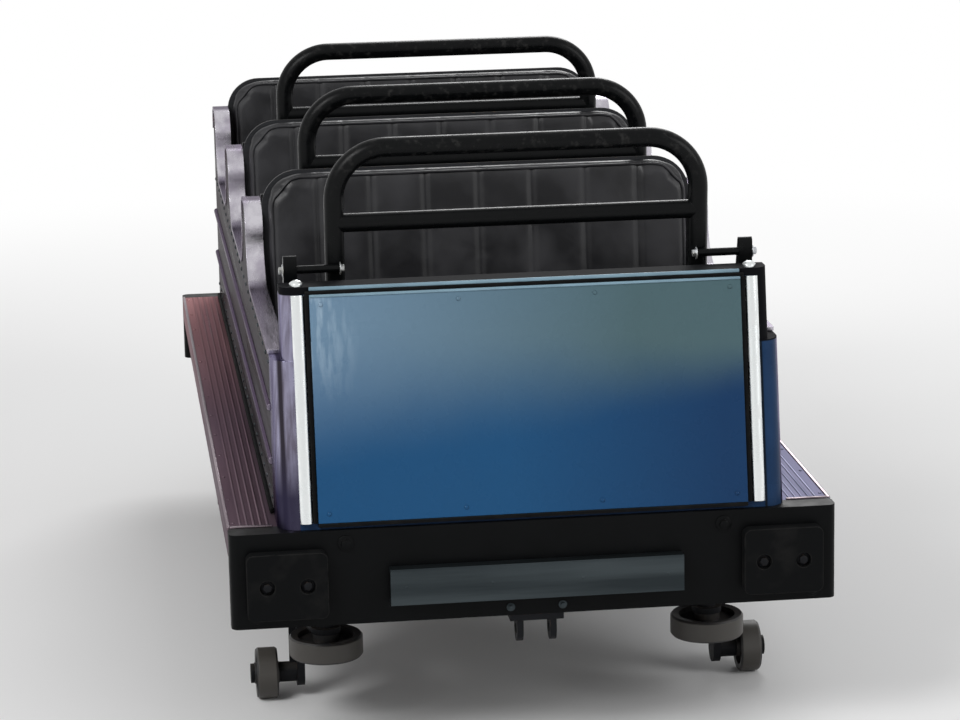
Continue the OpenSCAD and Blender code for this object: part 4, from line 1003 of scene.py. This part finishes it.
def upholster(node, name, lean, shrink, cap, crown_way):
    """One padded piece: the frame's soft block, shrunk, remeshed and blown up as cloth while its
    sewn lines are held, and kept inside the block's own space."""
    piece, turn = upright_block(node, name, lean)
    block = [Vector(c) for c in (piece.bound_box[0], piece.bound_box[6])]
    middle = (block[0] + block[1]) / 2

    def out_of_face(point):
        return (point - middle).dot(crown_way)

    even_mesh(piece, shrink)
    lines = seam_lines(high[node].y)
    face_out = max(out_of_face(v.co) for v in piece.data.vertices)
    hold(piece, lines, out_of_face, face_out)
    swell(piece, cap)
    smoother = piece.modifiers.new("Subdivision", "SUBSURF")
    smoother.levels = smoother.render_levels = 1
    apply_modifier(piece, "Subdivision")
    sew(piece, lines, out_of_face, face_out, crown_way)
    keep_inside(piece, block)
    piece.data.transform(turn.inverted())
    only(piece)
    bpy.ops.object.shade_smooth()
    return piece


def inflate(piece):
    """Blows the piece up from inside, with its sewn lines held."""
    steps = 20
    cloth = piece.modifiers.new("Cloth", "CLOTH")
    cloth.settings.quality = 4
    cloth.settings.mass = 0.4
    cloth.settings.use_pressure = True
    cloth.settings.uniform_pressure_force = 4
    cloth.settings.vertex_group_mass = "sewn"
    cloth.settings.effector_weights.gravity = 0
    cloth.point_cache.frame_start = 1
    cloth.point_cache.frame_end = steps
    only(piece)
    for step in range(1, steps + 1):
        scene.frame_set(step)
    bpy.ops.object.modifier_apply(modifier="Cloth")
    scene.frame_set(1)


def sew(piece, lines, out_of_face, face_out, crown_way):
    """Draws the sewn lines into the face as narrow grooves."""
    depth, width, reach = 6 * MM, 7 * MM, 30 * MM
    for vertex in piece.data.vertices:
        if out_of_face(vertex.co) > face_out - reach:
            away = min(abs(vertex.co.y - line) for line in lines)
            vertex.co -= crown_way * depth * math.exp(-(away / width) ** 2)


def piping(piece, loop, name):
    """A welt of cord under vinyl, laid on the piece's surface along a closed loop."""
    welt_r, lift = 3.6 * MM, 1.5 * MM
    surface = BVHTree.FromObject(piece, bpy.context.evaluated_depsgraph_get())
    points = []
    for point in loop:
        at, normal = surface.find_nearest(point)[:2]
        points.append(at + normal * lift)
    curve = bpy.data.curves.new(name, "CURVE")
    curve.dimensions = "3D"
    curve.bevel_depth = welt_r
    curve.bevel_resolution = 2
    line = curve.splines.new("POLY")
    line.points.add(len(points) - 1)
    for knot, point in zip(line.points, points):
        knot.co = (*point, 1)
    line.use_cyclic_u = True
    welt = bpy.data.objects.new(name, curve)
    scene.collection.objects.link(welt)
    only(welt)
    bpy.ops.object.convert(target="MESH")
    bpy.ops.object.shade_smooth()
    return bpy.context.active_object


def rounded_loop(corners, radius, step=12 * MM):
    """Points along a closed loop through corner points, with its corners rounded."""
    points = []
    count = len(corners)
    for i, corner in enumerate(corners):
        before = (corners[i - 1] - corner).normalized()
        after = (corners[(i + 1) % count] - corner).normalized()
        start, stop = corner + before * radius, corner + after * radius
        if points:
            points += [points[-1].lerp(start, k) for k in
                       spread(0, 1, step / max((start - points[-1]).length, step))][1:-1]
        for k in spread(0, 1, 0.2):
            points.append(start.lerp(corner, k).lerp(corner.lerp(stop, k), k))
    gap = (points[0] - points[-1]).length
    points += [points[-1].lerp(points[0], k) for k in spread(0, 1, step / max(gap, step))][1:-1]
    return points


WELT_IN, WELT_SIDE = 12 * MM, 14 * MM


def cushion_outline():
    """The welt's corners round the cushion's top."""
    lo, hi = low["seat_cushion_1"], high["seat_cushion_1"]
    back, front, side = lo.x + WELT_IN, hi.x - WELT_IN, hi.y - WELT_SIDE
    return [Vector((x, y, hi.z)) for x, y in ((back, -side), (front, -side), (front, side),
                                              (back, side))]


def pad_outline():
    """The welt's corners round the back pad's leaning face, whose upper corners are cut off."""
    lo, hi = low["back_pad_1"], high["back_pad_1"]
    foot, top, side, cut = lo.z + WELT_IN, hi.z - WELT_IN, hi.y - WELT_SIDE, 70 * MM
    return [Vector((hi.x - (z - lo.z) * math.tan(BACK_LEAN), y, z))
            for y, z in ((-side, foot), (side, foot), (side, hi.z - cut), (hi.y - cut, top),
                         (cut - hi.y, top), (-side, hi.z - cut))]


def make_seats():
    """One cushion and one back pad are made, then copied to the other two benches."""
    cushion = upholster("seat_cushion_1", "cushion_cover_1", 0, 11 * MM, 13 * MM, Z)
    pad = upholster("back_pad_1", "back_cover_1", BACK_LEAN, 9 * MM, 12 * MM, X)
    seat_welt = piping(cushion, rounded_loop(cushion_outline(), 26 * MM), "cushion_welt_1")
    back_welt = piping(pad, rounded_loop(pad_outline(), 24 * MM), "back_welt_1")
    for row in ROWS:
        shift = Matrix.Translation((-ROW_PITCH * (row - 1), 0, 0))
        for master, base, node in ((cushion, "cushion_cover", f"seat_cushion_{row}"),
                                   (pad, "back_cover", f"back_pad_{row}"),
                                   (seat_welt, "cushion_welt", None),
                                   (back_welt, "back_welt", None)):
            piece = master
            if row > 1:
                piece = master.copy()
                piece.data = piece.data.copy()
                for prop in list(piece.keys()):
                    del piece[prop]
                piece.parent = None
                scene.collection.objects.link(piece)
                piece.data.transform(shift)
            settle(piece, f"{base}_{row}", "seat_vinyl")
            if node:
                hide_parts(node)


# Floor, world and lamps

def make_floor():
    """A pale floor that turns to plain white away from the car, with the car's shadow on it."""
    pale_to, white_from = 2.6, 6.0
    bpy.ops.object.select_all(action="DESELECT")
    bpy.ops.mesh.primitive_plane_add(size=60)
    floor = bpy.context.active_object
    floor.name = "floor"
    material, tree = new_material("studio_floor")
    seen = add(tree, "LightPath", out="Is Camera Ray")
    mirrored_ray = add(tree, "LightPath", out="Is Glossy Ray")
    either = add(tree, "Math", {0: seen, 1: mirrored_ray}, operation="MAXIMUM")
    away = add(tree, "VectorMath", {0: around(tree)}, "Value", operation="LENGTH")
    far = add(tree, "MapRange", {0: away, 1: pale_to, 2: white_from},
              interpolation_type="SMOOTHSTEP")
    plain = add(tree, "Math", {0: far, 1: either}, operation="MULTIPLY")
    pale = add(tree, "BsdfDiffuse", {"Color": (0.86, 0.86, 0.86, 1)})
    white = add(tree, "Emission", {"Color": (1, 1, 1, 1), "Strength": 1.0})
    show(tree, add(tree, "MixShader", {0: plain, 1: pale, 2: white}))
    floor.data.materials.append(material)


def make_world():
    """Plain light on the car, and a white background that its metal shows too."""
    world = bpy.data.worlds.new("studio")
    world.use_nodes = True
    tree = world.node_tree
    tree.nodes.clear()
    seen = add(tree, "LightPath", out="Is Camera Ray")
    for ray in ("Is Glossy Ray", "Is Transmission Ray"):
        seen = add(tree, "Math", {0: seen, 1: add(tree, "LightPath", out=ray)},
                   operation="MAXIMUM")
    level = add(tree, "MapRange", {0: seen, 3: 0.55, 4: 1.0})
    add(tree, "OutputWorld", {"Surface": add(tree, "Background", {"Strength": level})})
    scene.world = world


def soft_light(name, at, aim, watts):
    """A round lamp, large enough for soft shadows."""
    bpy.ops.object.light_add(type="AREA", location=at)
    lamp = bpy.context.active_object
    lamp.name = name
    lamp.data.shape = "DISK"
    lamp.data.size = 3.0
    lamp.data.energy = watts
    lamp.rotation_euler = (Vector(aim) - Vector(at)).to_track_quat("-Z", "Y").to_euler()


scene.view_settings.view_transform = "Standard"
place_camera()
make_floor()
make_world()
soft_light("key", (4.5, -4.0, 5.0), (0.2, 0, 0.6), 220)
soft_light("fill", (4.0, 4.5, 3.2), (0.2, 0, 0.6), 90)
soft_light("behind", (-5.0, 1.5, 4.5), (0, 0, 0.8), 160)
finish_frame()
trim_sign()
dress_walls()
dress_boards()
bolt_beams()
bolt_bars()
bolt_wheels()
weld_frame()
bolt_panels()
lay_mats()
make_seats()

bpy.context.view_layer.update()
